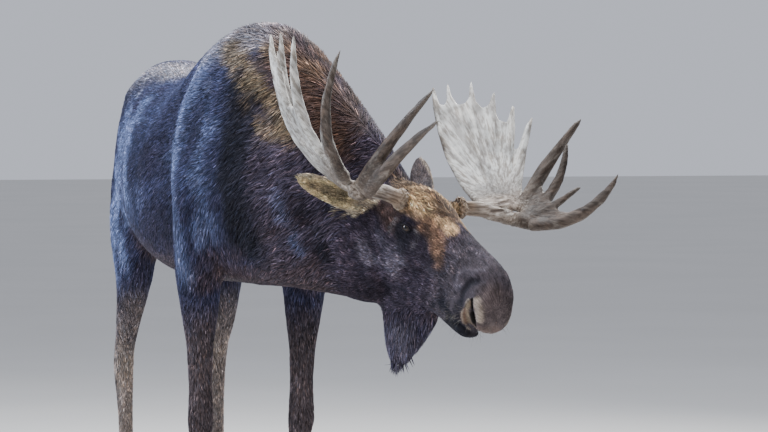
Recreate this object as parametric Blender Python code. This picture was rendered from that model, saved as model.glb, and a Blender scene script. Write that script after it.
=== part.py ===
"""Bull moose standing with its neck lowered and bent to its left: a still, life-size model.

Metres, +Z up. The animal faces -Y and its left side is +X. The flesh is modelled whole, out to the
tips of the coat, and parted with thin cuts. Eyes, hooves, dewclaws and antlers are pieces of their own.
"""
import math

import bmesh
import bpy
from mathutils import Matrix, Vector

# Driving dimensions -------------------------------------------------------------------------
GAP = 0.0003            # room between two pieces that meet
SEAT_ROOM = 0.0004      # room left round a piece that sits in another
LEG_SPREAD = 0.172      # half the distance between a left and a right hoof
HIND_SHIFT = -0.004     # the hindquarters stand a little to the right of the forefeet's middle
LEG_CUT = 0.935         # height where a leg leaves the trunk
LEG_REACH = 1.000       # how far ahead of and behind the middle the legs' own room goes
KNEE_CUT = 0.475        # height where the front cannon begins
HOCK_CUT = 0.590        # height where the hind cannon begins
HEAD_CUT = -0.045       # forward of the poll, where the head meets the neck
NECK_CUT = -0.800       # y at the spine, where the neck leaves the trunk
NECK_TURN = 25.0        # degrees the cut between neck and trunk is turned to the left
NECK_LEAN = 0.12        # how far that cut leans forward at its foot, as a slope
TAIL_LEAN = 0.25        # the same for the cut under the tail's root

FLESH_VOXEL = 0.0075    # cell of the mesh that blends the runs of flesh
COARSE_FACES = 2700     # triangles of all the flesh, as the trunk, neck and legs use it
FINE_FACES = 8000       # the same for the head, bell and tail, which take only their own share
ANTLER_VOXEL = 0.0050
ANTLER_FACES = 740      # triangles of one whole antler before it is parted
WELD = 0.00002          # points closer than this are one point
BLOCK_SIZE = 8.0        # side of the block that a region is cut from, larger than the animal

HEAD_HEADING = 22.0     # degrees the face is turned to the animal's left of straight ahead
HEAD_PITCH = 25.0       # degrees the nose points down
HEAD_ROLL = 8.0         # degrees the left side hangs lower
POLL = Vector((0.335, -1.255, 1.235))    # the joint of head and neck, between the ears

# Places on the head: forward, sideways and up from the poll.
EYE_RADIUS = 0.0205
EYE_PLACE = (0.160, 0.091, 0.022)
PEDICLE_ROOT = (0.105, 0.050, 0.080)
BURR_PLACE = (0.115, 0.122, 0.096)
BURR_RADIUS = 0.036
BURR_COLLAR = ((-0.004, 0.86), (0.004, 1.00), (0.012, 0.95), (0.020, 0.60))   # way along, radius
PEDICLE_RADII = (0.034, 0.031, 0.029)
PEDICLE_PAST = 0.010    # how far the pedicle is run past the burr's face before it is cut there
EAR_ROOTS = {-1: (-0.020, 0.085, 0.000), 1: (0.000, 0.092, 0.018)}
EAR_TIPS = {-1: (-0.165, 0.332, 0.019), 1: (-0.225, 0.190, 0.125)}   # right ear, left ear
EAR_FACES = {-1: (0.75, 0.55, -0.05), 1: (-0.60, 0.70, -0.20)}       # way each opening faces

EAR_VOXEL = 0.0045
EAR_TRIANGLES = 160
BURR_ROOM = 0.055
BELL_CUT = Vector((0.342, -1.305, 0.930))
BELL_ROOM = (0.180, 0.090)      # half length along the throat and half width of the bell's room
TAIL_CUT = (0.0, 0.872, 1.52)

FRONT_FOOT_Y = -0.600
HIND_FOOT_Y = 0.612
FRONT_CLAW = (-0.530, 0.150)    # y and z where the front dewclaws leave the leg
HIND_CLAW = (0.682, 0.155)
HOOF_LENGTH = 0.142
HOOF_WIDTH = 0.053
HOOF_HEIGHT = 0.080
HOOF_SPLIT = 0.006      # room between the two toes of a foot
HOOF_SIDES = 14
HOOF_LEVELS = ((0.000, 0.93, 1.00), (0.008, 1.00, 1.03), (0.040, 0.95, 0.96))   # height, width, length
HOOF_TOP = (0.86, 0.82)         # width and length at the hair's edge
CLAW_SPREAD = 0.022             # half the distance between a foot's two dewclaws
CLAW_RUN = (0.010, 0.020, -0.042)       # outward, back and up from root to tip
CLAW_RADII = (0.013, 0.013, 0.005)

# Half profiles ------------------------------------------------------------------------------
# Trunk and neck, rump to poll: x, y, top, bottom, half width, squareness of the section.
BODY_ROWS = (
    (-0.010, 0.870, 1.500, 1.300, 0.060, 2.0),
    (-0.010, 0.815, 1.632, 1.110, 0.142, 2.2),
    (-0.010, 0.700, 1.706, 1.020, 0.198, 2.25),
    (-0.008, 0.520, 1.754, 1.020, 0.236, 2.35),
    (-0.004, 0.320, 1.728, 1.025, 0.266, 2.35),
    (-0.002, 0.100, 1.688, 0.995, 0.296, 2.3),
    (0.000, -0.100, 1.684, 0.975, 0.304, 2.3),
    (0.002, -0.300, 1.728, 0.978, 0.284, 2.3),
    (0.004, -0.480, 1.820, 0.982, 0.251, 2.3),
    (0.010, -0.620, 1.860, 0.984, 0.237, 2.3),
    (0.026, -0.740, 1.870, 0.982, 0.225, 2.2),
    (0.068, -0.860, 1.846, 0.984, 0.212, 2.2),
    (0.128, -0.980, 1.756, 0.976, 0.192, 2.2),
    (0.204, -1.085, 1.642, 0.962, 0.170, 2.2),
    (0.278, -1.170, 1.508, 0.945, 0.147, 2.2),
    (0.326, -1.245, 1.378, 0.965, 0.122, 2.1),
    (0.352, -1.300, 1.290, 1.030, 0.080, 2.0),
)
# Front leg, withers to hoof: x beyond the hoof's, sway to the left, y, z, half width, room
# forward, room backward.
FRONT_ROWS = (
    (-0.050, 0.000, -0.540, 1.640, 0.050, 0.070, 0.090),
    (-0.010, 0.005, -0.590, 1.450, 0.078, 0.140, 0.140),
    (0.008, 0.010, -0.600, 1.280, 0.090, 0.165, 0.160),
    (0.012, 0.016, -0.565, 1.120, 0.088, 0.150, 0.150),
    (0.012, 0.018, -0.535, 1.000, 0.077, 0.118, 0.125),
    (0.009, 0.017, -0.540, 0.900, 0.065, 0.088, 0.095),
    (0.006, 0.012, -0.555, 0.780, 0.047, 0.060, 0.064),
    (0.004, 0.008, -0.565, 0.660, 0.041, 0.048, 0.049),
    (0.003, 0.005, -0.575, 0.565, 0.044, 0.051, 0.047),
    (0.002, 0.003, -0.577, 0.515, 0.045, 0.053, 0.045),
    (0.001, 0.002, -0.572, 0.455, 0.036, 0.041, 0.040),
    (0.000, 0.000, -0.568, 0.370, 0.030, 0.034, 0.036),
    (0.000, 0.000, -0.566, 0.250, 0.029, 0.032, 0.036),
    (0.000, 0.000, -0.566, 0.185, 0.035, 0.037, 0.044),
    (0.000, 0.000, -0.572, 0.150, 0.039, 0.041, 0.045),
    (0.000, 0.000, -0.590, 0.110, 0.039, 0.040, 0.038),
    (0.000, 0.000, -0.602, 0.080, 0.048, 0.050, 0.044),
    (0.000, 0.000, -0.606, 0.050, 0.050, 0.054, 0.046),
)
# Hind leg, hip to hoof, in the same way.
HIND_ROWS = (
    (-0.060, 0.010, 0.560, 1.600, 0.064, 0.140, 0.150),
    (-0.034, 0.008, 0.580, 1.430, 0.084, 0.215, 0.215),
    (-0.020, 0.004, 0.560, 1.270, 0.086, 0.235, 0.225),
    (-0.010, 0.002, 0.530, 1.120, 0.080, 0.205, 0.205),
    (-0.004, 0.000, 0.525, 0.990, 0.068, 0.150, 0.155),
    (0.000, 0.000, 0.560, 0.880, 0.053, 0.100, 0.105),
    (0.005, 0.000, 0.610, 0.780, 0.043, 0.068, 0.074),
    (0.004, 0.000, 0.660, 0.700, 0.037, 0.053, 0.062),
    (0.003, 0.000, 0.690, 0.635, 0.038, 0.050, 0.058),
    (0.002, 0.000, 0.688, 0.560, 0.034, 0.043, 0.042),
    (0.001, 0.000, 0.676, 0.460, 0.029, 0.035, 0.036),
    (0.000, 0.000, 0.662, 0.300, 0.027, 0.032, 0.035),
    (0.000, 0.000, 0.650, 0.195, 0.034, 0.037, 0.043),
    (0.000, 0.000, 0.643, 0.155, 0.038, 0.040, 0.044),
    (0.000, 0.000, 0.626, 0.110, 0.038, 0.039, 0.037),
    (0.000, 0.000, 0.612, 0.080, 0.046, 0.049, 0.043),
    (0.000, 0.000, 0.608, 0.050, 0.048, 0.053, 0.045),
)
# Head, poll to nose: forward, top, bottom, half width, squareness.
SKULL_ROWS = (
    (-0.110, 0.050, -0.120, 0.070, 2.0),
    (-0.060, 0.100, -0.160, 0.104, 2.1),
    (0.020, 0.126, -0.170, 0.116, 2.2),
    (0.100, 0.136, -0.160, 0.114, 2.3),
    (0.185, 0.124, -0.140, 0.101, 2.3),
    (0.260, 0.105, -0.118, 0.083, 2.2),
    (0.335, 0.092, -0.105, 0.070, 2.2),
    (0.410, 0.084, -0.106, 0.067, 2.2),
    (0.480, 0.077, -0.116, 0.069, 2.3),
    (0.534, 0.060, -0.129, 0.071, 2.4),
    (0.568, 0.030, -0.133, 0.066, 2.4),
    (0.592, -0.014, -0.124, 0.052, 2.3),
)
JAW_ROWS = (
    (0.020, -0.080, -0.200, 0.078, 2.2),
    (0.120, -0.080, -0.210, 0.072, 2.2),
    (0.230, -0.080, -0.196, 0.058, 2.1),
    (0.340, -0.080, -0.186, 0.047, 2.1),
    (0.425, -0.090, -0.188, 0.045, 2.1),
    (0.485, -0.100, -0.188, 0.044, 2.2),
    (0.520, -0.112, -0.176, 0.034, 2.0),
)
# Lumps of the head: forward, sideways and up, then their half lengths the same way.
HEAD_LUMPS = (
    ((0.105, 0.062, -0.100), (0.090, 0.034, 0.080)),    # cheek
    ((0.150, 0.078, 0.062), (0.048, 0.026, 0.024)),     # brow
    ((0.530, 0.046, -0.052), (0.042, 0.031, 0.046)),    # nostril
    ((0.460, 0.042, -0.110), (0.070, 0.028, 0.034)),    # upper lip
)
# Bell under the throat, top to bottom: x, y, z, half length, half width.
BELL_ROWS = (
    (0.330, -1.270, 1.080, 0.065, 0.040),
    (0.350, -1.307, 1.000, 0.146, 0.056),
    (0.354, -1.319, 0.930, 0.150, 0.050),
    (0.344, -1.320, 0.865, 0.122, 0.044),
    (0.328, -1.308, 0.800, 0.080, 0.034),
    (0.319, -1.297, 0.748, 0.036, 0.019),
)
# Tail, root to tip: y, z, half width, half depth.
TAIL_ROWS = (
    (0.780, 1.560, 0.032, 0.026),
    (0.855, 1.535, 0.032, 0.026),
    (0.893, 1.480, 0.032, 0.022),
    (0.902, 1.425, 0.026, 0.018),
    (0.898, 1.385, 0.012, 0.010),
)
# Ear, root to tip: share of the way, half width, half thickness.
EAR_ROWS = (
    (0.00, 0.036, 0.026),
    (0.25, 0.043, 0.019),
    (0.50, 0.046, 0.014),
    (0.75, 0.042, 0.011),
    (0.92, 0.028, 0.009),
    (1.00, 0.012, 0.007),
)
EAR_CUP = 0.35          # how far the ear's edges curl forward, as a share of its half width

# Antlers: forward, outward and up from the poll. A beam's row ends in its radius. A tine's row is
# its tip, how far it bends away from straight half way, its radius where it leaves the palm, and how
# deep the palm reaches between it and the next tine, as a share of the way to the tips.
PALM_THICKNESS = 0.013
TIP_RADIUS = 0.005
ANTLERS = {
    "left": {
        "beam": ((0.115, 0.122, 0.096, 0.024), (0.129, 0.200, 0.105, 0.022),
                 (0.150, 0.270, 0.104, 0.021), (0.185, 0.325, 0.110, 0.022),
                 (0.235, 0.352, 0.122, 0.020)),
        "palm": ((0.108, 0.238, 0.105), (0.140, 0.350, 0.133), (
            ((-0.445, 0.330, 0.302), (0.000, 0.000, -0.060), 0.013, 0.86),
            ((-0.435, 0.375, 0.330), (0.000, 0.000, -0.052), 0.013, 0.84),
            ((-0.378, 0.420, 0.365), (0.000, 0.000, -0.046), 0.014, 0.85),
            ((-0.300, 0.460, 0.372), (0.000, 0.000, -0.040), 0.013, 0.82),
            ((-0.219, 0.490, 0.361), (0.000, 0.000, -0.030), 0.014, 0.60),
            ((-0.150, 0.530, 0.357), (-0.025, 0.000, -0.015), 0.016, 0.00))),
        "brow": ((0.150, 0.350, 0.130), (0.240, 0.325, 0.118), (
            ((0.095, 0.500, 0.459), (-0.030, 0.020, 0.015), 0.023, 0.30),
            ((0.133, 0.440, 0.383), (0.030, 0.025, -0.015), 0.018, 0.42),
            ((0.293, 0.420, 0.301), (0.000, 0.000, -0.010), 0.014, 0.42),
            ((0.422, 0.420, 0.417), (0.048, 0.015, -0.025), 0.021, 0.00))),
        "palm_cut": ((0.084, 0.320, 0.120), (-1.00, 0.00, 0.00)),
        "brow_cut": ((0.165, 0.295, 0.110), (0.35, 0.90, 0.20)),
    },
    "right": {
        "beam": ((0.115, 0.122, 0.096, 0.024), (0.100, 0.195, 0.106, 0.022),
                 (0.080, 0.260, 0.094, 0.025), (0.104, 0.306, 0.100, 0.031)),
        "palm": ((0.034, 0.245, 0.068), (0.078, 0.345, 0.125), (
            ((-0.425, 0.400, 0.350), (-0.010, 0.030, -0.078), 0.012, 0.87),
            ((-0.405, 0.445, 0.398), (-0.010, 0.030, -0.073), 0.013, 0.85),
            ((-0.340, 0.465, 0.436), (-0.010, 0.035, -0.072), 0.013, 0.83),
            ((-0.290, 0.490, 0.385), (-0.010, 0.030, -0.060), 0.011, 0.62),
            ((-0.207, 0.520, 0.473), (-0.025, 0.025, -0.060), 0.017, 0.22),
            ((0.004, 0.500, 0.524), (-0.030, 0.030, -0.050), 0.021, 0.00))),
        "brow": ((0.110, 0.305, 0.116), (0.138, 0.287, 0.106), (
            ((0.319, 0.360, 0.553), (-0.012, 0.002, 0.000), 0.021, 0.26),
            ((0.457, 0.420, 0.501), (-0.014, 0.000, 0.012), 0.020, 0.00))),
        "palm_cut": ((0.058, 0.295, 0.110), (-0.80, 0.60, 0.00)),
        "brow_cut": ((0.108, 0.285, 0.108), (0.70, 0.70, 0.25)),
    },
}

SIDES = ((-1, "right"), (1, "left"))

# Colours of the plain materials: red, green, blue, roughness.
HIDE = (0.060, 0.045, 0.040, 0.85)
HORN = (0.045, 0.038, 0.034, 0.45)
BONE = (0.420, 0.350, 0.270, 0.60)
EYE = (0.012, 0.008, 0.006, 0.08)


# Helpers ------------------------------------------------------------------------------------
def head_axes():
    """Forward, left and up of the head, as world directions."""
    heading = math.radians(HEAD_HEADING)
    pitch = math.radians(HEAD_PITCH)
    roll = math.radians(HEAD_ROLL)
    level = Vector((math.sin(heading), -math.cos(heading), 0.0))
    left = Vector((math.cos(heading), math.sin(heading), 0.0))
    forward = level * math.cos(pitch) - Vector((0, 0, 1)) * math.sin(pitch)
    up = level * math.sin(pitch) + Vector((0, 0, 1)) * math.cos(pitch)
    rolled_left = left * math.cos(roll) - up * math.sin(roll)
    rolled_up = up * math.cos(roll) + left * math.sin(roll)
    return forward, rolled_left, rolled_up


FORWARD, LEFT, UP = head_axes()
Z = Vector((0, 0, 1))


def on_head(forward, left, up):
    """World place of a point given from the poll along the head's own axes."""
    return POLL + FORWARD * forward + LEFT * left + UP * up


def smooth_rows(rows, steps):
    """The given rows with others between them, on a Catmull-Rom curve."""
    rows = [Vector(row) for row in rows]
    padded = [2 * rows[0] - rows[1]] + rows + [2 * rows[-1] - rows[-2]]
    result = []
    for index in range(1, len(padded) - 2):
        before, here, there, after = padded[index - 1:index + 3]
        for step in range(steps):
            t = step / steps
            bend = (here * 2 + (there - before) * t
                    + (before * 2 - here * 5 + there * 4 - after) * t * t
                    + (here * 3 - before - there * 3 + after) * t * t * t)
            result.append(bend / 2)
    result.append(rows[-1])
    return result


def neighbours(rows, index):
    """The rows after and before one, or the row itself at an end."""
    return rows[min(index + 1, len(rows) - 1)], rows[max(index - 1, 0)]


def section(centre, side, up, width, rise, drop, power=2.0, count=24):
    """A closed ring of points: a rounded, squarish section about a centre."""
    points = []
    for index in range(count):
        angle = 2 * math.pi * index / count
        across, along = math.cos(angle), math.sin(angle)
        x = math.copysign(abs(across) ** (2 / power), across) * width
        y = math.copysign(abs(along) ** (2 / power), along) * (rise if along > 0 else drop)
        points.append(centre + side * x + up * y)
    return points


def skin_rings(shape, rings):
    """Join rings one after the other into a closed body in the bmesh."""
    loops = [[shape.verts.new(point) for point in ring] for ring in rings]
    count = len(loops[0])
    faces = []
    for lower, upper in zip(loops, loops[1:]):
        for index in range(count):
            after = (index + 1) % count
            faces.append(shape.faces.new((lower[index], lower[after], upper[after], upper[index])))
    faces.append(shape.faces.new(loops[0][::-1]))
    faces.append(shape.faces.new(loops[-1]))
    bmesh.ops.recalc_face_normals(shape, faces=faces)


def add_tube(shape, points, radii, count=12):
    """A round rod through some points, with a radius at each."""
    rings = []
    side = None
    for index, point in enumerate(points):
        ahead, behind = neighbours(points, index)
        run = (ahead - behind).normalized()
        side = (side - run * side.dot(run) if side else run.orthogonal()).normalized()
        radius = radii[index]
        rings.append(section(point, side, run.cross(side), radius, radius, radius, 2.0, count))
    skin_rings(shape, rings)


def add_slab(shape, corners, thickness):
    """A thin prism on three or four corners, half its thickness to each side."""
    across = (corners[1] - corners[0]).cross(corners[-1] - corners[0]).normalized() * thickness / 2
    skin_rings(shape, [[corner - across for corner in corners], [corner + across for corner in corners]])


def as_object(shape, name):
    """Turn a bmesh into an object of the scene."""
    mesh = bpy.data.meshes.new(name)
    shape.to_mesh(mesh)
    shape.free()
    item = bpy.data.objects.new(name, mesh)
    bpy.context.scene.collection.objects.link(item)
    return item


def applied(item):
    """Make an object's evaluated mesh its own and drop its modifiers."""
    graph = bpy.context.evaluated_depsgraph_get()
    mesh = bpy.data.meshes.new_from_object(item.evaluated_get(graph))
    item.modifiers.clear()
    item.data = mesh
    return item


def hide(item):
    """Mark an object as a guide that isn't part of the model."""
    item.hide_render = True
    item.display_type = "WIRE"
    return item


def blended(shape, name, voxel, ease, faces):
    """Blend overlapping runs into one closed surface with about so many triangles."""
    item = hide(as_object(shape, name))
    remesh = item.modifiers.new("blend", "REMESH")
    remesh.mode = "VOXEL"
    remesh.voxel_size = voxel
    smooth = item.modifiers.new("ease", "SMOOTH")
    smooth.factor = 0.6
    smooth.iterations = ease
    applied(item)
    full = 2 * len(item.data.polygons)
    thin = item.modifiers.new("thin", "DECIMATE")
    thin.ratio = min(1.0, faces / full)
    thin.use_collapse_triangulate = True
    return applied(item)


def region(name, planes):
    """A big block cut by planes, each a point and the direction of the side that goes."""
    shape = bmesh.new()
    bmesh.ops.create_cube(shape, size=BLOCK_SIZE)
    for point, away in planes:
        geometry = shape.verts[:] + shape.edges[:] + shape.faces[:]
        cut = bmesh.ops.bisect_plane(shape, geom=geometry, plane_co=point, plane_no=away, clear_outer=True)
        edges = [part for part in cut["geom_cut"] if isinstance(part, bmesh.types.BMEdge)]
        bmesh.ops.edgeloop_fill(shape, edges=edges)
    bmesh.ops.recalc_face_normals(shape, faces=shape.faces[:])
    return hide(as_object(shape, name))


def boolean(item, other, operation):
    """Apply one Boolean to an object."""
    cut = item.modifiers.new("cut", "BOOLEAN")
    cut.object = other
    cut.operation = operation
    return applied(item)


def largest_island(item):
    """Keep only the biggest connected body of an object, with its faces turned outwards."""
    shape = bmesh.new()
    shape.from_mesh(item.data)
    bmesh.ops.remove_doubles(shape, verts=shape.verts[:], dist=WELD)
    bmesh.ops.dissolve_degenerate(shape, edges=shape.edges[:], dist=WELD)
    left = set(shape.verts)
    islands = []
    while left:
        front = [left.pop()]
        island = list(front)
        while front:
            vert = front.pop()
            for edge in vert.link_edges:
                other = edge.other_vert(vert)
                if other in left:
                    left.discard(other)
                    front.append(other)
                    island.append(other)
        islands.append(island)
    islands.sort(key=len)
    for island in islands[:-1]:
        bmesh.ops.delete(shape, geom=island, context="VERTS")
    bmesh.ops.triangulate(shape, faces=shape.faces[:])
    bmesh.ops.recalc_face_normals(shape, faces=shape.faces[:])
    shape.to_mesh(item.data)
    shape.free()
    return item


def block(name, centre, axes, halves):
    """A hidden box with its own directions and half sizes."""
    planes = []
    for axis, half in zip(axes, halves):
        planes.append((centre + axis * half, axis))
        planes.append((centre - axis * half, -axis))
    return region(name, planes)


def carved(source, name, within, without):
    """The part of a body inside some blocks and outside others, as a node of its own."""
    item = bpy.data.objects.new(name, source.data.copy())
    bpy.context.scene.collection.objects.link(item)
    for other in within:
        boolean(item, other, "INTERSECT")
    for other in without:
        boolean(item, other, "DIFFERENCE")
    return largest_island(item)


def grown(item, name, room):
    """A copy of an object that is larger by some room all round."""
    copy = bpy.data.objects.new(name, item.data.copy())
    bpy.context.scene.collection.objects.link(copy)
    shape = bmesh.new()
    shape.from_mesh(copy.data)
    shape.normal_update()
    moves = [(vert, vert.normal * vert.calc_shell_factor() * room) for vert in shape.verts]
    for vert, move in moves:
        vert.co += move
    shape.to_mesh(copy.data)
    shape.free()
    return hide(copy)


def seat(host, insert):
    """Cut a seat in a host for a piece that sits in it."""
    boolean(host, grown(insert, insert.name + "_room", SEAT_ROOM), "DIFFERENCE")
    return largest_island(host)


def finish_of(name):
    """Name and colour of a node's plain material."""
    if name.startswith("antler"):
        return "antler", BONE
    if name.startswith("eye"):
        return "eye", EYE
    if name.endswith(("hoof", "dewclaw")):
        return "horn", HORN
    return "hide", HIDE


def paint(item, name, colour):
    """Give a node its plain material."""
    material = bpy.data.materials.get(name)
    if material is None:
        material = bpy.data.materials.new(name)
        material.use_nodes = True
        shader = material.node_tree.nodes["Principled BSDF"]
        shader.inputs["Base Color"].default_value = (*colour[:3], 1.0)
        shader.inputs["Roughness"].default_value = colour[3]
        shader.inputs["Metallic"].default_value = 0.0
    item.data.materials.clear()
    item.data.materials.append(material)
    item.hide_render = False
    item.display_type = "TEXTURED"


# Flesh --------------------------------------------------------------------------------------
def add_body(shape):
    """Trunk and neck as one run of upright sections along the spine."""
    rows = smooth_rows(BODY_ROWS, 3)
    rings = []
    for index, row in enumerate(rows):
        ahead, behind = neighbours(rows, index)
        run = Vector((ahead[0] - behind[0], ahead[1] - behind[1], 0)).normalized()
        middle = row[2] * 0.45 + row[3] * 0.55
        centre = Vector((row[0], row[1], middle))
        rings.append(section(centre, run.cross(Z), Z, row[4], row[2] - middle, middle - row[3],
                             row[5], 36))
    skin_rings(shape, rings)


def add_leg(shape, rows, side, shift):
    """One leg from inside the trunk down to the hoof's edge."""
    rows = smooth_rows(rows, 3)
    rings = []
    for index, row in enumerate(rows):
        ahead, behind = neighbours(rows, index)
        run = Vector((0, ahead[2] - behind[2], ahead[3] - behind[3])).normalized()
        lean = Vector((0, run[2], -run[1]))
        centre = Vector((side * (LEG_SPREAD + row[0]) + row[1] + shift, row[2], row[3]))
        rings.append(section(centre, Vector((1, 0, 0)), lean, row[4], row[5], row[6], 2.15, 24))
    skin_rings(shape, rings)


def add_head_run(shape, rows):
    """The skull with the muzzle, or the lower jaw."""
    rings = []
    for row in smooth_rows(rows, 3):
        middle = (row[1] + row[2]) / 2
        half = (row[1] - row[2]) / 2
        rings.append(section(on_head(row[0], 0, middle), LEFT, UP, row[3], half, half, row[4], 32))
    skin_rings(shape, rings)


def throat_axes():
    """Level directions along the throat and across it."""
    heading = math.radians(HEAD_HEADING)
    along = Vector((math.sin(heading), -math.cos(heading), 0))
    return along, along.cross(Z)


def add_bell(shape):
    """The bell: a flap of skin and long hair, longer along the throat than it is wide."""
    along, across = throat_axes()
    rings = []
    for row in smooth_rows(BELL_ROWS, 3):
        rings.append(section(Vector(row[:3]), across, along, row[4], row[3], row[3], 2.0))
    skin_rings(shape, rings)


def add_head_lumps(shape):
    """Muscle and bone that stand out on the head, on both sides."""
    frame = Matrix((FORWARD, LEFT, UP)).transposed().to_4x4()
    for place, radii in HEAD_LUMPS:
        for side, _ in SIDES:
            centre = on_head(place[0], side * place[1], place[2])
            matrix = Matrix.Translation(centre) @ frame @ Matrix.Diagonal((*radii, 1.0))
            bmesh.ops.create_icosphere(shape, subdivisions=3, radius=1.0, matrix=matrix)


def add_tail(shape):
    """The short tail, hanging close to the rump."""
    rows = smooth_rows(TAIL_ROWS, 3)
    rings = []
    for index, row in enumerate(rows):
        ahead, behind = neighbours(rows, index)
        run = Vector((0, ahead[0] - behind[0], ahead[1] - behind[1])).normalized()
        centre = Vector((BODY_ROWS[0][0], row[0], row[1]))
        rings.append(section(centre, Vector((1, 0, 0)), run.cross(Vector((1, 0, 0))), row[2], row[3],
                             row[3]))
    skin_rings(shape, rings)


def ear_axes(side):
    """Root, run, width direction and the way the opening faces, of one ear."""
    start = EAR_ROOTS[side]
    root = on_head(start[0], side * start[1], start[2])
    tip = EAR_TIPS[side]
    run = on_head(tip[0], side * tip[1], tip[2]) - root
    faces = EAR_FACES[side]
    opening = FORWARD * faces[0] + LEFT * side * faces[1] + UP * faces[2]
    across = run.cross(opening).normalized()
    return root, run, across, across.cross(run).normalized()


def add_ear(shape, side):
    """A leaf-shaped ear whose edges curl towards its opening."""
    root, run, across, opening = ear_axes(side)
    rings = []
    for row in smooth_rows(EAR_ROWS, 4):
        ring = section(root + run * row[0], across, opening, row[1], row[2], row[2], 2.0)
        curled = []
        for point in ring:
            reach = (point - root).dot(across) / max(row[1], 0.001)
            curled.append(point + opening * (reach * reach * EAR_CUP * row[1]))
        rings.append(curled)
    skin_rings(shape, rings)


def add_pedicle(shape, side):
    """The short bone under a burr, covered with hair."""
    root = on_head(PEDICLE_ROOT[0], side * PEDICLE_ROOT[1], PEDICLE_ROOT[2])
    end = on_head(BURR_PLACE[0], side * BURR_PLACE[1], BURR_PLACE[2])
    past = end + burr_axis(side) * PEDICLE_PAST
    add_tube(shape, [root, root.lerp(end, 0.5), past], PEDICLE_RADII)


def burr_axis(side):
    """Direction in which an antler leaves the head."""
    name = "left" if side > 0 else "right"
    first, second = ANTLERS[name]["beam"][:2]
    start = on_head(first[0], side * first[1], first[2])
    return (on_head(second[0], side * second[1], second[2]) - start).normalized()


def build_flesh():
    """Every run of flesh in one bmesh."""
    shape = bmesh.new()
    add_body(shape)
    for side in (-1, 1):
        add_leg(shape, FRONT_ROWS, side, 0.0)
        add_leg(shape, HIND_ROWS, side, HIND_SHIFT)
        add_pedicle(shape, side)
    add_head_run(shape, SKULL_ROWS)
    add_head_run(shape, JAW_ROWS)
    add_head_lumps(shape)
    add_bell(shape)
    add_tail(shape)
    return shape


def ear_nodes(nodes, flesh):
    """Both ears, cut to sit on the flesh."""
    rooms = [grown(item, item.name + "_room", SEAT_ROOM) for item in flesh]
    for side, name in SIDES:
        shape = bmesh.new()
        add_ear(shape, side)
        ear = blended(shape, "ear_" + name, EAR_VOXEL, 2, EAR_TRIANGLES)
        for room in rooms:
            boolean(ear, room, "DIFFERENCE")
        nodes[ear.name] = largest_island(ear)


def bell_region(name, top):
    """The room of the bell under a level cut."""
    along, across = throat_axes()
    return region(name, [
        (Vector((0, 0, top)), Z),
        (BELL_CUT + along * BELL_ROOM[0], along), (BELL_CUT - along * BELL_ROOM[0], -along),
        (BELL_CUT + across * BELL_ROOM[1], across), (BELL_CUT - across * BELL_ROOM[1], -across)])


def burr_block(side):
    """The room an antler takes beyond its burr's face."""
    axis = burr_axis(side)
    across = axis.orthogonal().normalized()
    face = on_head(BURR_PLACE[0], side * BURR_PLACE[1], BURR_PLACE[2])
    centre = face + axis * (BURR_ROOM - GAP)
    return block(f"burr_block_{side}", centre, (axis, across, axis.cross(across)), [BURR_ROOM] * 3)


def part_flesh():
    """Blend the flesh and part it into the animal's named pieces."""
    coarse = blended(build_flesh(), "flesh_coarse", FLESH_VOXEL, 5, COARSE_FACES)
    fine = blended(build_flesh(), "flesh_fine", FLESH_VOXEL, 5, FINE_FACES)
    half = GAP / 2
    turn = math.radians(NECK_TURN)
    onward = Vector((math.sin(turn), -math.cos(turn), NECK_LEAN)).normalized()
    head_face = POLL + FORWARD * HEAD_CUT
    neck_face = Vector((0, NECK_CUT, 1.5))
    leg_face = Vector((0, 0, LEG_CUT))
    tail_away = Vector((0, 1, TAIL_LEAN)).normalized()

    nodes = {}
    bell_gap = bell_region("bell_gap", BELL_CUT.z + half)
    nodes["bell"] = carved(fine, "bell", [bell_region("bell_block", BELL_CUT.z - half)], [])
    burr_gaps = [burr_block(side) for side, _ in SIDES]
    ahead = region("head_region", [(head_face + FORWARD * half, -FORWARD)])
    nodes["head"] = carved(fine, "head", [ahead], burr_gaps + [bell_gap])
    middle = region("neck_region", [(head_face - FORWARD * half, FORWARD),
                                    (neck_face + onward * half, -onward)])
    nodes["neck"] = carved(coarse, "neck", [middle], [bell_gap])
    ear_nodes(nodes, (coarse, fine))
    tail_face = Vector(TAIL_CUT)
    rear = region("trunk_region", [(neck_face - onward * half, onward), (leg_face + Z * half, -Z),
                                   (tail_face - tail_away * half, tail_away)])
    nodes["trunk"] = carved(coarse, "trunk", [rear], [])
    behind = region("tail_region", [(tail_face + tail_away * half, -tail_away)])
    nodes["tail"] = carved(fine, "tail", [behind], [])
    for side, name in SIDES:
        beside = (Vector((0, 0, 0)), Vector((-side, 0, 0)))
        for end, joint, away in (("front", KNEE_CUT, 1), ("hind", HOCK_CUT, -1)):
            halfway = (Vector((0, 0, 0)), Vector((0, away, 0)))
            furthest = (Vector((0, -away * LEG_REACH, 0)), Vector((0, -away, 0)))
            upper = region(f"{end}_{name}_upper_region", [
                (leg_face - Z * half, Z), (Vector((0, 0, joint + half)), -Z), beside, halfway,
                furthest])
            lower = region(f"{end}_{name}_lower_region", [
                (Vector((0, 0, joint - half)), Z), (Vector((0, 0, HOOF_HEIGHT + half)), -Z),
                beside, halfway])
            nodes[f"{end}_{name}_upper_leg"] = carved(coarse, f"{end}_{name}_upper_leg", [upper], [])
            nodes[f"{end}_{name}_lower_leg"] = carved(coarse, f"{end}_{name}_lower_leg", [lower], [])
    return nodes


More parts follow.
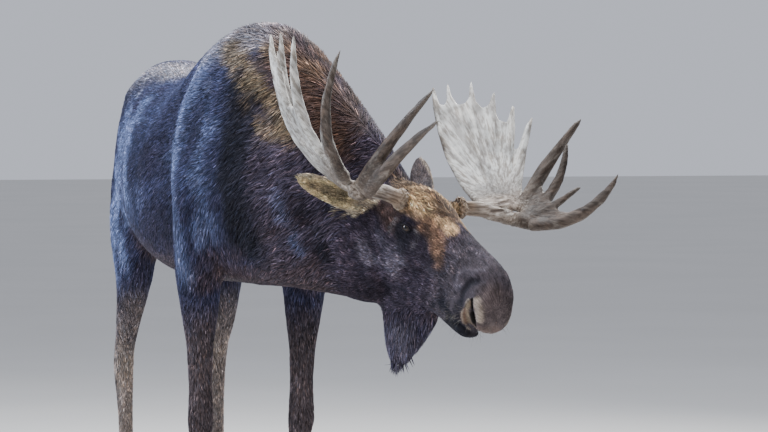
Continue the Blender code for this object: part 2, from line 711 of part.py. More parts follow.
# Feet and eyes ------------------------------------------------------------------------------
def add_hoof(shape, foot_x, foot_y, outward):
    """One toe of a hoof: round wall, pointed at the front, flat at the sole."""
    inner = foot_x + outward * HOOF_SPLIT / 2
    levels = HOOF_LEVELS + ((HOOF_HEIGHT - GAP / 2, *HOOF_TOP),)
    rings = []
    for height, wide, long in levels:
        ring = []
        slope = height / HOOF_HEIGHT
        front = HOOF_LENGTH * (0.62 - 0.20 * slope)
        back = HOOF_LENGTH * (0.38 - 0.08 * slope)
        for index in range(HOOF_SIDES):
            angle = 2 * math.pi * index / HOOF_SIDES
            lengthways = math.cos(angle)
            sideways = math.sin(angle)
            reach = front if lengthways > 0 else back
            taper = 1.0 - 0.35 * max(0.0, lengthways) ** 2
            width = HOOF_WIDTH * wide
            bulge = (sideways * 0.5 * taper + 0.5) * width
            if sideways < 0:
                bulge = (0.5 + 0.5 * sideways * (0.9 + 0.1 * taper)) * width
            ring.append(Vector((inner + outward * bulge, foot_y - lengthways * reach * long, height)))
        rings.append(ring)
    skin_rings(shape, rings)


def add_dewclaw(shape, root, outward):
    """A small blunt claw behind the fetlock, pointing down and back."""
    run = Vector((outward * CLAW_RUN[0], CLAW_RUN[1], CLAW_RUN[2]))
    points = [root + run * share for share in (0.0, 0.6, 1.0)]
    add_tube(shape, points, CLAW_RADII, 7)


def foot_nodes(nodes):
    """Hooves and dewclaws of every foot."""
    for side, name in SIDES:
        for end, place, claw, shift in (("front", FRONT_FOOT_Y, FRONT_CLAW, 0.0),
                                        ("hind", HIND_FOOT_Y, HIND_CLAW, HIND_SHIFT)):
            foot_x = side * LEG_SPREAD + shift
            for outward, toe in ((side, "outer"), (-side, "inner")):
                shape = bmesh.new()
                add_hoof(shape, foot_x, place, outward)
                hoof = largest_island(as_object(shape, f"{end}_{name}_{toe}_hoof"))
                nodes[hoof.name] = hoof
                shape = bmesh.new()
                add_dewclaw(shape, Vector((foot_x + outward * CLAW_SPREAD, claw[0], claw[1])), outward)
                dewclaw = largest_island(as_object(shape, f"{end}_{name}_{toe}_dewclaw"))
                nodes[dewclaw.name] = dewclaw
                seat(nodes[f"{end}_{name}_lower_leg"], dewclaw)


def eye_nodes(nodes):
    """Two eyeballs, each in a socket of the head."""
    for side, name in SIDES:
        shape = bmesh.new()
        bmesh.ops.create_icosphere(shape, subdivisions=2, radius=EYE_RADIUS)
        bmesh.ops.translate(shape, verts=shape.verts[:],
                            vec=on_head(EYE_PLACE[0], side * EYE_PLACE[1], EYE_PLACE[2]))
        eye = as_object(shape, "eye_" + name)
        nodes[eye.name] = eye
        seat(nodes["head"], eye)


# Antlers ------------------------------------------------------------------------------------
def bent(start, end, bow, share):
    """A point on the way from start to end, on a run that bends away by so much half way."""
    return start.lerp(end, share) + bow * (4 * share * (1 - share))


def add_palm(shape, side, palm):
    """A palm: ribs from its root fan out to the tines' tips, with plates between them."""
    first = on_head(palm[0][0], side * palm[0][1], palm[0][2])
    last = on_head(palm[1][0], side * palm[1][1], palm[1][2])
    tines = palm[2]
    ribs = []
    steps = 12
    for index, (tip, bow, width, reach) in enumerate(tines):
        root = first.lerp(last, index / (len(tines) - 1))
        end = on_head(tip[0], side * tip[1], tip[2])
        bend = on_head(bow[0], side * bow[1], bow[2]) - POLL
        ribs.append([bent(root, end, bend, step / steps) for step in range(steps + 1)])
        depth = max(reach, tines[index - 1][3] if index else 0.0)
        radii = []
        for step in range(steps + 1):
            share = step / steps
            free = max(0.0, share - depth) / (1 - depth)
            radius = TIP_RADIUS + (width - TIP_RADIUS) * (1 - free) ** 0.65
            radii.append(radius if share > depth * 0.5 else max(PALM_THICKNESS * 0.55, radius * 0.85))
        add_tube(shape, ribs[-1], radii, 10)
    for index, tine in enumerate(tines[:-1]):
        near, far = ribs[index], ribs[index + 1]
        deepest = tine[3] * steps
        for step in range(int(deepest) + 1):
            after = step + 1
            if after <= deepest:
                corners = [near[step], near[after], far[after], far[step]]
                add_slab(shape, corners[:3], PALM_THICKNESS)
                add_slab(shape, [corners[0], corners[2], corners[3]], PALM_THICKNESS)
            else:
                valley = near[step].lerp(near[after], deepest - step)
                valley = (valley + far[step].lerp(far[after], deepest - step)) / 2
                add_slab(shape, [near[step], near[after], valley], PALM_THICKNESS)
                add_slab(shape, [near[step], valley, far[step]], PALM_THICKNESS)
                add_slab(shape, [valley, far[after], far[step]], PALM_THICKNESS)


def add_beam(shape, side, beam):
    """The beam with its burr."""
    rows = smooth_rows(beam, 4)
    points = [on_head(row[0], side * row[1], row[2]) for row in rows]
    add_tube(shape, points, [row[3] for row in rows], 16)
    axis = burr_axis(side)
    collar = [points[0] + axis * way for way, _ in BURR_COLLAR]
    add_tube(shape, collar, [BURR_RADIUS * share for _, share in BURR_COLLAR], 18)


def cut_plane(side, cut):
    """World point and direction of a cut given on the head's axes."""
    point, away = cut
    start = on_head(point[0], side * point[1], point[2])
    return start, (on_head(away[0], side * away[1], away[2]) - POLL).normalized()


def antler_nodes(nodes):
    """Both antlers, each parted where it forks."""
    half = GAP / 2
    for side, name in SIDES:
        plan = ANTLERS[name]
        shape = bmesh.new()
        add_beam(shape, side, plan["beam"])
        add_palm(shape, side, plan["palm"])
        add_palm(shape, side, plan["brow"])
        whole = blended(shape, "antler_" + name, ANTLER_VOXEL, 3, ANTLER_FACES)
        axis = burr_axis(side)
        face = on_head(BURR_PLACE[0], side * BURR_PLACE[1], BURR_PLACE[2]) + axis * half
        palm_face, palm_away = cut_plane(side, plan["palm_cut"])
        brow_face, brow_away = cut_plane(side, plan["brow_cut"])
        palm_room = [(palm_face + palm_away * half, -palm_away)]
        brow_room = [(brow_face + brow_away * half, -brow_away), (palm_face - palm_away * half, palm_away)]
        beam_room = [(face, -axis), (palm_face - palm_away * half, palm_away),
                     (brow_face - brow_away * half, brow_away)]
        for part, planes in (("palm", palm_room), ("brow", brow_room), ("beam", beam_room)):
            node = f"antler_{name}_{part}"
            nodes[node] = carved(whole, node, [region(node + "_region", planes)], [])


def stand_at_origin(nodes):
    """Move everything so that the bottom centre of the whole box is the origin."""
    points = [vert.co for item in nodes.values() for vert in item.data.vertices]
    low = Vector([min(point[axis] for point in points) for axis in range(3)])
    high = Vector([max(point[axis] for point in points) for axis in range(3)])
    middle = (low + high) / 2
    for item in nodes.values():
        item.data.transform(Matrix.Translation((-middle.x, -middle.y, -low.z)))


def main():
    """Build the whole animal."""
    for item in list(bpy.data.objects):
        bpy.data.objects.remove(item, do_unlink=True)
    nodes = part_flesh()
    foot_nodes(nodes)
    eye_nodes(nodes)
    antler_nodes(nodes)
    stand_at_origin(nodes)
    for name, item in nodes.items():
        finish, colour = finish_of(name)
        paint(item, finish, colour)


main()
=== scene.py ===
"""Looks of a bull moose: a still, life-size model standing with its neck lowered and bent to its left.

Metres, +Z up; the tables of strokes, patches and runs are in millimetres. The animal faces -Y and its
left side is +X.
"""
from __future__ import annotations

import logging
import math
from collections.abc import Iterator
from contextlib import contextmanager
from dataclasses import dataclass, field
from enum import Enum, IntEnum

import bmesh
import bpy
import numpy as np
from bpy.types import Material, Mesh, Node, NodeSocket, NodeTree, Object
from mathutils import Matrix, Vector
from mathutils.bvhtree import BVHTree
from mathutils.kdtree import KDTree


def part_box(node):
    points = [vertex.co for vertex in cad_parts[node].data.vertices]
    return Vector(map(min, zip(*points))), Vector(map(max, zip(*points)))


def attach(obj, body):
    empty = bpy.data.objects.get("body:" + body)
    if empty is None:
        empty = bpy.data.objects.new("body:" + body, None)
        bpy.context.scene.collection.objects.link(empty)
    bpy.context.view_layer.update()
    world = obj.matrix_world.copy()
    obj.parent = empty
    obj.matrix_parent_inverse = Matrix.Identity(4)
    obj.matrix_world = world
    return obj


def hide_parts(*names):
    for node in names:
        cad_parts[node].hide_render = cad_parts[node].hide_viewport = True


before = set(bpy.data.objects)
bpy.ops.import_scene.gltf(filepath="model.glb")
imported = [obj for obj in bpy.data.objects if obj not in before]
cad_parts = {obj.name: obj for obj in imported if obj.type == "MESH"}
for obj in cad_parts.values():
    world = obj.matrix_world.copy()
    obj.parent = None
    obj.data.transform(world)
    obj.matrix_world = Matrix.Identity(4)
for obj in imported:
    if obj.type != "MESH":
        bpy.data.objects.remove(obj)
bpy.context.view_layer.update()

LOG = logging.getLogger("moose")
BODY = "root"
SEED = 29
Array = np.ndarray
Colour = tuple[float, float, float]
Place = tuple[float, float, float]


# Numbers and meshes -------------------------------------------------------------------------
def eased(values: Array, start: float, end: float) -> Array:
    """Ease values from 0 at start to 1 at end, which may lie below start."""
    share = np.clip((values - start) / (end - start), 0.0, 1.0)
    return share * share * (3.0 - 2.0 * share)


def metres(places: tuple[Place, ...]) -> Array:
    """Turn places in millimetres into rows in metres."""
    return np.array(places) / 1000


def unit(vectors: Array) -> Array:
    """Scale vectors to length 1."""
    return vectors / np.maximum(np.linalg.norm(vectors, axis=-1, keepdims=True), 1e-9)


def blob(points: Array, centre: Place, radii: Place) -> Array:
    """Weigh places by a soft patch that falls to about a third at its radii."""
    reach = (points - np.array(centre)) / np.array(radii)
    return np.exp(-(reach ** 2).sum(axis=1))


def lattice_noise(points: Array, cell: float | Place, seed: int) -> Array:
    """Give smooth noise on a lattice.

    Args:
        points: Places to read.
        cell: Size of a cell, or one size for each axis.
        seed: Number that picks the pattern.

    Returns:
        A value from -1 to 1 for each place.
    """
    grid = points / np.array(cell)
    base = np.floor(grid).astype(np.int64)
    part = grid - base
    ease = part * part * (3.0 - 2.0 * part)
    total = np.zeros(len(points))
    for corner in range(8):
        offset = np.array([corner & 1, corner >> 1 & 1, corner >> 2 & 1])
        key = base + offset
        mixed = key[:, 0] * 73856093 ^ key[:, 1] * 19349663 ^ key[:, 2] * 83492791 ^ seed * 8191
        mixed = (mixed ^ mixed >> 13) * 1274126177
        value = ((mixed ^ mixed >> 16) & 0xFFFF) / 32767.5 - 1.0
        total += value * np.where(offset, ease, 1.0 - ease).prod(axis=1)
    return total


def distance_to_run(points: Array, run: Array) -> tuple[Array, Array]:
    """Measure how far places are from a run of straight pieces.

    Args:
        points: Places to measure.
        run: Corners of the run, in order.

    Returns:
        The distance of each place, and its share of the way along the run.
    """
    best = np.full(len(points), 1e9)
    along = np.zeros(len(points))
    steps = len(run) - 1
    for index in range(steps):
        start, step = run[index], run[index + 1] - run[index]
        share = np.clip(((points - start) @ step) / (step @ step), 0.0, 1.0)
        gap = np.linalg.norm(points - start - share[:, None] * step, axis=1)
        closer = gap < best
        best[closer] = gap[closer]
        along[closer] = (index + share[closer]) / steps
    return best, along


def curve_through(places: Array, steps: int) -> Array:
    """Run a smooth curve through some rows of numbers.

    Args:
        places: The rows that it passes through.
        steps: Pieces between one row and the next.

    Returns:
        The rows along the curve.
    """
    padded = np.vstack([2 * places[0] - places[1], places, 2 * places[-1] - places[-2]])
    rows = []
    for index in range(1, len(padded) - 2):
        before, here, there, after = padded[index - 1:index + 3]
        for step in range(steps):
            t = step / steps
            rows.append(0.5 * (2 * here + (there - before) * t + (2 * before - 5 * here + 4 * there - after)
                * t * t + (3 * here - before - 3 * there + after) * t ** 3))
    rows.append(places[-1])
    return np.array(rows)


def coordinates(mesh: Mesh) -> Array:
    """Read the places of a mesh's points."""
    values = np.zeros(len(mesh.vertices) * 3)
    mesh.vertices.foreach_get("co", values)
    return values.reshape(-1, 3)


def place_points(mesh: Mesh, points: Array) -> None:
    """Write the places of a mesh's points."""
    mesh.vertices.foreach_set("co", points.astype(np.float32).ravel())
    mesh.update()


def corners_of(mesh: Mesh) -> Array:
    """Read a mesh of triangles as rows of three points."""
    values = np.zeros(len(mesh.loops), dtype=np.int64)
    mesh.loops.foreach_get("vertex_index", values)
    return values.reshape(-1, 3)


def edges_of(mesh: Mesh) -> Array:
    """Read a mesh's edges as rows of two points."""
    values = np.zeros(len(mesh.edges) * 2, dtype=np.int64)
    mesh.edges.foreach_get("vertices", values)
    return values.reshape(-1, 2)


def normals_of(points: Array, faces: Array) -> Array:
    """Give each point the mean direction of the triangles round it.

    Args:
        points: Places of the points.
        faces: Rows of three points.

    Returns:
        A direction of length 1 for each point.
    """
    first, second, third = (points[faces[:, index]] for index in range(3))
    facing = np.cross(second - first, third - first)
    total = np.zeros_like(points)
    for corner in range(3):
        for axis in range(3):
            total[:, axis] += np.bincount(faces[:, corner], facing[:, axis], len(points))
    return unit(total)


def spread(values: Array, edges: Array, rounds: int, share: float = 0.5) -> Array:
    """Even values out between neighbouring points.

    Args:
        values: One row for each point.
        edges: Rows of two neighbouring points.
        rounds: How often it is done.
        share: How much of the neighbours' mean is taken each time.

    Returns:
        The evened rows.
    """
    count = len(values)
    first, second = edges.T
    degree = np.maximum(np.bincount(first, minlength=count) + np.bincount(second, minlength=count), 1)
    result = values.astype(float).copy()
    for _ in range(rounds):
        mean = np.empty_like(result)
        for column in range(result.shape[1]):
            line = result[:, column]
            mean[:, column] = (np.bincount(first, line[second], count)
                + np.bincount(second, line[first], count)) / degree
        result += share * (mean - result)
    return result


def triangle_mesh(name: str, points: Array, faces: Array, smooth: bool) -> Mesh:
    """Make a mesh from arrays.

    Args:
        name: Name of the mesh.
        points: Places of its points.
        faces: Rows of three points.
        smooth: Whether its faces are shaded smooth.

    Returns:
        The new mesh.
    """
    mesh = bpy.data.meshes.new(name)
    mesh.vertices.add(len(points))
    mesh.vertices.foreach_set("co", points.astype(np.float32).ravel())
    mesh.loops.add(faces.size)
    mesh.loops.foreach_set("vertex_index", faces.astype(np.int32).ravel())
    mesh.polygons.add(len(faces))
    mesh.polygons.foreach_set("loop_start", np.arange(0, faces.size, 3, dtype=np.int32))
    mesh.polygons.foreach_set("use_smooth", np.full(len(faces), smooth))
    mesh.update(calc_edges=True)
    return mesh


def ring_mesh(rings: list[Array], closed_ends: tuple[bool, bool]) -> tuple[Array, Array]:
    """Join rings of points into a skin.

    Args:
        rings: Rings with the same number of points.
        closed_ends: Whether the first and the last ring are filled.

    Returns:
        The points, and the faces as rows of three points.
    """
    count = len(rings[0])
    points = [np.array(ring) for ring in rings]
    faces = []
    for level in range(len(rings) - 1):
        for index in range(count):
            after = (index + 1) % count
            low, low_after = level * count + index, level * count + after
            high, high_after = low + count, low_after + count
            faces += [(low, low_after, high_after), (low, high_after, high)]
    total = len(rings) * count
    for end, level in zip(closed_ends, (0, len(rings) - 1)):
        if end:
            points.append(np.mean(rings[level], axis=0)[None, :])
            for index in range(count):
                pair = (level * count + (index + 1) % count, level * count + index)
                faces.append((total, *(pair if level == 0 else pair[::-1])))
            total += 1
    return np.vstack(points), np.array(faces)


def turns_of(count: int) -> Array:
    """Give evenly spaced angles of one full turn."""
    return np.linspace(0, 2 * np.pi, count, endpoint=False)


def circle(turns: Array, first: Array, second: Array) -> Array:
    """Give the directions round a circle, from one on it and the one a quarter turn on."""
    return np.cos(turns)[:, None] * first + np.sin(turns)[:, None] * second


def joined(parts: list[tuple[Array, Array]]) -> tuple[Array, Array]:
    """Put several meshes of triangles together, as points and rows of three points."""
    points, faces, start = [], [], 0
    for part_points, part_triangles in parts:
        points.append(part_points)
        faces.append(part_triangles + start)
        start += len(part_points)
    return np.vstack(points), np.vstack(faces)


def facing_out(points: Array, faces: Array) -> Array:
    """Turn the triangles of a closed body round if they face inwards."""
    first, second, third = (points[faces[:, index]] for index in range(3))
    volume = (first * np.cross(second, third)).sum()
    return faces if volume > 0 else faces[:, ::-1]


def add_colours(mesh: Mesh, name: str, colours: Array) -> None:
    """Keep a colour at each point of a mesh, under a name that a material reads."""
    values = np.ones((len(colours), 4), dtype=np.float32)
    values[:, :3] = np.clip(colours, 0.0, 1.0)
    mesh.color_attributes.new(name, "FLOAT_COLOR", "POINT").data.foreach_set("color", values.ravel())


def add_numbers(mesh: Mesh, name: str, numbers: Array) -> None:
    """Keep a number or a vector at each point of a mesh, under a name that a material reads."""
    if numbers.ndim == 1:
        attribute = mesh.attributes.new(name, "FLOAT", "POINT")
        attribute.data.foreach_set("value", numbers.astype(np.float32))
    else:
        attribute = mesh.attributes.new(name, "FLOAT_VECTOR", "POINT")
        attribute.data.foreach_set("vector", numbers.astype(np.float32).ravel())


def linked(name: str, mesh: Mesh) -> Object:
    """Put a mesh into the scene as an object at the origin."""
    mesh.name = name
    item = bpy.data.objects.new(name, mesh)
    bpy.context.scene.collection.objects.link(item)
    return item


def applied(item: Object) -> Object:
    """Make an object's evaluated mesh its own and drop its modifiers."""
    bpy.context.view_layer.update()
    graph = bpy.context.evaluated_depsgraph_get()
    mesh = bpy.data.meshes.new_from_object(item.evaluated_get(graph))
    item.modifiers.clear()
    item.data = mesh
    return item


@contextmanager
def edited(mesh: Mesh) -> Iterator[bmesh.types.BMesh]:
    """Open a mesh for editing, and write it back at the end."""
    shape = bmesh.new()
    shape.from_mesh(mesh)
    yield shape
    shape.to_mesh(mesh)
    shape.free()


def nearest(places: Array, wanted: Array) -> Array:
    """Find the row of places that lies nearest to each wanted place."""
    tree = KDTree(len(places))
    for index, place in enumerate(places):
        tree.insert(place, index)
    tree.balance()
    return np.array([tree.find(place)[1] for place in wanted])


def copy_of_nodes(nodes: list[str], grow: float) -> Mesh:
    """Join copies of CAD nodes, each grown a little so that they overlap."""
    parts = []
    for node in nodes:
        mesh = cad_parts[node].data.copy()
        with edited(mesh) as shape:
            bmesh.ops.remove_doubles(shape, verts=shape.verts[:], dist=0.00005)
            bmesh.ops.triangulate(shape, faces=shape.faces[:])
        points, faces = coordinates(mesh), corners_of(mesh)
        parts.append((points + grow * normals_of(points, faces), faces))
        bpy.data.meshes.remove(mesh)
    points, faces = joined(parts)
    return triangle_mesh("nodes_copy", points, faces, True)


def add_group(item: Object, name: str, weights: Array) -> None:
    """Keep weights from 0 to 1 as a group of an object's points, in tenths."""
    group = item.vertex_groups.new(name=name)
    for level in range(1, 11):
        group.add(np.flatnonzero(np.round(weights * 10) == level).tolist(), level / 10, "REPLACE")


def add_smoothing(item: Object, group: str, rounds: int) -> None:
    """Add a modifier that evens out a group of an object's points, or all of them."""
    smooth = item.modifiers.new("smooth", "SMOOTH")
    smooth.factor, smooth.iterations, smooth.vertex_group = 0.5, rounds, group


def remeshed(item: Object, voxel: float) -> Object:
    """Give an object one even, closed surface."""
    remesh = item.modifiers.new("remesh", "REMESH")
    remesh.mode = "VOXEL"
    remesh.voxel_size = voxel
    return applied(item)


def largest_body(item: Object) -> None:
    """Keep only the biggest connected body of an object, in triangles."""
    with edited(item.data) as shape:
        bmesh.ops.triangulate(shape, faces=shape.faces[:])
    edges = edges_of(item.data)
    label = np.arange(len(item.data.vertices))
    before = None
    while before is None or (label != before).any():
        before = label.copy()
        low = np.minimum(label[edges[:, 0]], label[edges[:, 1]])
        np.minimum.at(label, edges[:, 0], low)
        np.minimum.at(label, edges[:, 1], low)
        label = label[label]
    kept = label == np.bincount(label).argmax()
    faces = corners_of(item.data)
    faces = (np.cumsum(kept) - 1)[faces[kept[faces[:, 0]]]]
    item.data = triangle_mesh(item.name, coordinates(item.data)[kept], faces, True)


# Anchors ------------------------------------------------------------------------------------
def middle_of(node: str) -> Array:
    """Give the middle of a CAD node's box."""
    low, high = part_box(node)
    return (np.array(low) + np.array(high)) / 2


@dataclass(frozen=True)
class HeadAxes:
    """Forward, left and up of the head, from the joint of head and neck."""

    heading: float = 22.0
    pitch: float = 25.0
    roll: float = 8.0
    eyes_forward: float = 0.16
    eyes_up: float = 0.022

    def axes(self) -> Array:
        """Give the three directions as the columns of a matrix."""
        heading, pitch, roll = (math.radians(turn) for turn in (self.heading, self.pitch, self.roll))
        level = np.array([math.sin(heading), -math.cos(heading), 0.0])
        left = np.array([math.cos(heading), math.sin(heading), 0.0])
        high = np.array([0.0, 0.0, 1.0])
        forward = level * math.cos(pitch) - high * math.sin(pitch)
        up = level * math.sin(pitch) + high * math.cos(pitch)
        return np.stack([forward, left * math.cos(roll) - up * math.sin(roll),
            up * math.cos(roll) + left * math.sin(roll)], axis=1)

    def start(self) -> Array:
        """Give the joint's place, found from the two eyes."""
        axes = self.axes()
        between = (middle_of("eye_left") + middle_of("eye_right")) / 2
        return between - axes[:, 0] * self.eyes_forward - axes[:, 2] * self.eyes_up

    def to_head(self, points: Array) -> Array:
        """Turn world places into forward, left and up."""
        return (points - self.start()) @ self.axes()

    def to_world(self, points: Array) -> Array:
        """Turn forward, left and up into world places."""
        return self.start() + np.array(points) @ self.axes().T

    def direction(self, forward: float, left: float, up: float) -> Array:
        """Give a world direction of length 1 from its shares along the head's axes."""
        return unit(self.axes() @ np.array([forward, left, up]))


@dataclass(frozen=True)
class Stance:
    """The place midway between the forefeet, from which the body is measured."""

    toes_ahead: float = 0.617

    def start(self) -> Array:
        """Give the place on the floor that is x = 0, y = 0 for the body."""
        toes = [middle_of(f"front_{side}_{toe}_hoof") for side in ("left", "right")
            for toe in ("outer", "inner")]
        middle = np.mean(toes, axis=0)
        return np.array([middle[0], middle[1] + self.toes_ahead, 0.0])

    def to_stance(self, points: Array) -> Array:
        """Turn world places into places measured from the stance."""
        return points - self.start()

    def to_world(self, points: Array) -> Array:
        """Turn places measured from the stance into world places."""
        return np.array(points) + self.start()


HEAD = HeadAxes()
STANCE = Stance()


# Materials ----------------------------------------------------------------------------------
def add_node(tree: NodeTree, kind: str, values: dict[object, object], settings: dict[str, object]) -> Node:
    """Add a node to a tree.

    Args:
        tree: The tree.
        kind: The node's type.
        values: A value, flow or socket for each input that is not left as it is.
        settings: Its properties, set before its sockets.

    Returns:
        The new node.
    """
    node = tree.nodes.new(kind)
    for setting, value in settings.items():
        setattr(node, setting, value)
    for key, value in values.items():
        source = value.socket if isinstance(value, Flow) else value
        if isinstance(source, NodeSocket):
            tree.links.new(source, node.inputs[key])
        else:
            node.inputs[key].default_value = source
    return node


@dataclass(frozen=True)
class Flow:
    """A shader socket that can be used in sums and products."""

    maker: Maker
    socket: NodeSocket

    def _math(self, operation: str, first: object, second: object) -> Flow:
        """Add one Math node on two values or flows."""
        return self.maker.flow("ShaderNodeMath", 0, {0: first, 1: second}, operation=operation)

    def __add__(self, other: object) -> Flow:
        """Add."""
        return self._math("ADD", self, other)

    def __rsub__(self, other: object) -> Flow:
        """Subtract from a value."""
        return self._math("SUBTRACT", other, self)

    def __mul__(self, other: object) -> Flow:
        """Multiply."""
        return self._math("MULTIPLY", self, other)

    def mapped(self, low: float, high: float, to_low: float, to_high: float) -> Flow:
        """Map a range of values onto another, held at its ends."""
        ends = {"Value": self, "From Min": low, "From Max": high, "To Min": to_low, "To Max": to_high}
        return self.maker.flow("ShaderNodeMapRange", "Result", ends, interpolation_type="SMOOTHSTEP")

    def spread_over(self, low: float, high: float) -> Flow:
        """Map the usual range of a noise onto another."""
        return self.mapped(0.3, 0.7, low, high)


class Maker:
    """Builds one material's nodes."""

    def __init__(self, name: str) -> None:
        """Start a material with no nodes."""
        self.material = bpy.data.materials.new(name)
        self.material.use_nodes = True
        self.tree = self.material.node_tree
        self.tree.nodes.clear()

    def flow(self, kind: str, output: object, values: dict[object, object], **settings: object) -> Flow:
        """Add a node and wrap one of its outputs."""
        return Flow(self, add_node(self.tree, kind, values, settings).outputs[output])

    def kept(self, name: str, output: str = "Fac") -> Flow:
        """Read what a mesh keeps at its points under a name."""
        return self.flow("ShaderNodeAttribute", output, {}, attribute_type="GEOMETRY", attribute_name=name)

    def noise(self, where: object, scale: float, detail: float, roughness: float = 0.55) -> Flow:
        """Read a noise from 0 to 1."""
        return self.flow("ShaderNodeTexNoise", "Fac", {"Vector": where, "Scale": scale, "Detail": detail,
            "Roughness": roughness})

    def stretched(self, where: object, scale: Place) -> Flow:
        """Scale the coordinates of a pattern, each axis by its own amount."""
        return self.flow("ShaderNodeMapping", 0, {"Vector": where, "Scale": scale})

    def mixed(self, share: object, first: object, second: object, blend: str = "MIX") -> Flow:
        """Mix two colours."""
        first, second = ((*side, 1.0) if isinstance(side, tuple) else side for side in (first, second))
        return self.flow("ShaderNodeMix", 2, {0: share, 6: first, 7: second}, data_type="RGBA",
            blend_type=blend)

    def scaled_colour(self, colour: object, amount: Flow) -> Flow:
        """Make a colour darker or lighter by a flow."""
        return self.flow("ShaderNodeVectorMath", 0, {0: colour, 3: amount}, operation="SCALE")

    def bump(self, height: Flow, distance: float, strength: float) -> Flow:
        """Turn a height from 0 to 1 into a bump of the given depth."""
        return self.flow("ShaderNodeBump", "Normal", {"Height": height, "Distance": distance,
            "Strength": strength})

    def place(self) -> Flow:
        """Give the object's own coordinates."""
        return self.flow("ShaderNodeTexCoord", "Object", {})

    def finish(self, colour: Flow, roughness: object, specular: float = 0.5, normal: Flow | None = None,
            **more: object) -> Material:
        """End the material with one Principled shader.

        Args:
            colour: Its colour.
            roughness: Its roughness.
            specular: Its specular level.
            normal: Its bump.
            more: Other inputs, with _ for each space of their names.

        Returns:
            The finished material.
        """
        values = {"Base Color": colour, "Roughness": roughness, "Specular IOR Level": specular}
        if normal:
            values["Normal"] = normal
        values.update((name.replace("_", " "), value) for name, value in more.items())
        shader = self.flow("ShaderNodeBsdfPrincipled", 0, values)
        add_node(self.tree, "ShaderNodeOutputMaterial", {"Surface": shader}, {})
        return self.material


@dataclass(frozen=True)
class CoatFinish:
    """Dry hair: dull, with a cool sheen and a fine grain along every lock."""

    roughness: float = 0.68
    sheen: float = 0.02
    sheen_tint: Colour = (0.4, 0.52, 1.0)

    def material(self) -> Material:
        """Build the material."""
        maker = Maker("coat_hair")
        fine = maker.noise(maker.stretched(maker.kept("strand", "Vector"), (1700.0, 55.0, 1.0)), 1.0, 2.0)
        colour = maker.scaled_colour(maker.kept("coat", "Color"), fine.mapped(0.32, 0.68, 0.55, 1.45))
        return maker.finish(colour, fine.spread_over(self.roughness - 0.07, self.roughness + 0.1), 0.05,
            Sheen_Weight=self.sheen, Sheen_Roughness=0.4, Sheen_Tint=(*self.sheen_tint, 1.0))


@dataclass(frozen=True)
class HideFinish:
    """The skin with its short flat hair: streaks along the lie of the coat, and damp bare skin."""

    roughness: float = 0.76
    bare_roughness: float = 0.42
    hair_depth: float = 0.0016
    grain_depth: float = 0.0007

    def material(self) -> Material:
        """Build the material."""
        maker = Maker("hide")
        bare = maker.kept("bare")
        hair = maker.noise(maker.stretched(maker.kept("lie", "Vector"), (260.0, 260.0, 38.0)), 1.0, 3.0, 0.6)
        pores = maker.flow("ShaderNodeTexVoronoi", "Distance", {"Vector": maker.place(), "Scale": 420.0})
        blotch = maker.noise(maker.place(), 34.0, 3.0)
        shade = hair.spread_over(0.55, 1.45) * blotch.spread_over(0.72, 1.28)
        colour = maker.scaled_colour(maker.kept("coat", "Color"), shade)
        rough = hair.spread_over(self.roughness - 0.08, self.roughness + 0.08)
        rough = rough * (1.0 - bare) + bare * self.bare_roughness
        height = hair * (1.0 - bare) + pores * bare * (self.grain_depth / self.hair_depth)
        return maker.finish(colour, rough, 0.07, maker.bump(height, self.hair_depth, 0.8))


@dataclass(frozen=True)
class AntlerFinish:
    """Dry bone with streaks that run from the burr towards the tines."""

    streak_dark: Colour = (0.34, 0.29, 0.25)
    roughness: float = 0.58
    groove_depth: float = 0.0022

    def material(self) -> Material:
        """Build the material."""
        maker = Maker("antler_bone")
        grain = maker.kept("grain", "Vector")
        streaks = maker.noise(grain, 48.0, 5.0, 0.66)
        fine = maker.noise(grain, 120.0, 3.0, 0.6)
        blotch = maker.noise(maker.place(), 17.0, 4.0, 0.6)
        pits = maker.noise(maker.place(), 190.0, 2.0)
        tone = maker.kept("bone", "Color")
        dark = maker.mixed(1.0, tone, self.streak_dark, "MULTIPLY")
        colour = maker.mixed(streaks.mapped(0.48, 0.62, 0.0, 0.8), tone, dark)
        colour = maker.mixed(fine.mapped(0.48, 0.62, 0.0, 0.66), colour, dark)
        colour = maker.scaled_colour(colour, blotch.spread_over(0.68, 1.32))
        height = streaks * -0.9 + fine * -0.35 + pits * 0.16 + 1.0
        rough = blotch.spread_over(self.roughness - 0.12, self.roughness + 0.1)
        return maker.finish(colour, rough, 0.25, maker.bump(height, self.groove_depth, 0.85))


@dataclass(frozen=True)
class HoofFinish:
    """Dull dark horn with growth rings and a worn, paler edge."""

    horn: Colour = (0.03, 0.026, 0.025)
    worn: Colour = (0.135, 0.11, 0.088)
    roughness: float = 0.44

    def material(self) -> Material:
        """Build the material."""
        maker = Maker("hoof_horn")
        place = maker.place()
        rings = maker.noise(maker.stretched(place, (10.0, 10.0, 190.0)), 1.0, 2.0)
        fibres = maker.noise(maker.stretched(place, (420.0, 420.0, 40.0)), 1.0, 2.0)
        scuffs = maker.noise(place, 60.0, 4.0, 0.65)
        worn = maker.kept("worn") * scuffs.mapped(0.3, 0.62, 0.35, 1.0)
        colour = maker.scaled_colour(maker.mixed(worn, self.horn, self.worn), rings.spread_over(0.72, 1.3))
        height = rings * 0.8 + fibres * 0.35 + scuffs * 0.2
        rough = scuffs.spread_over(self.roughness - 0.08, self.roughness + 0.16)
        return maker.finish(colour, rough, 0.3, maker.bump(height, 0.0012, 0.8))


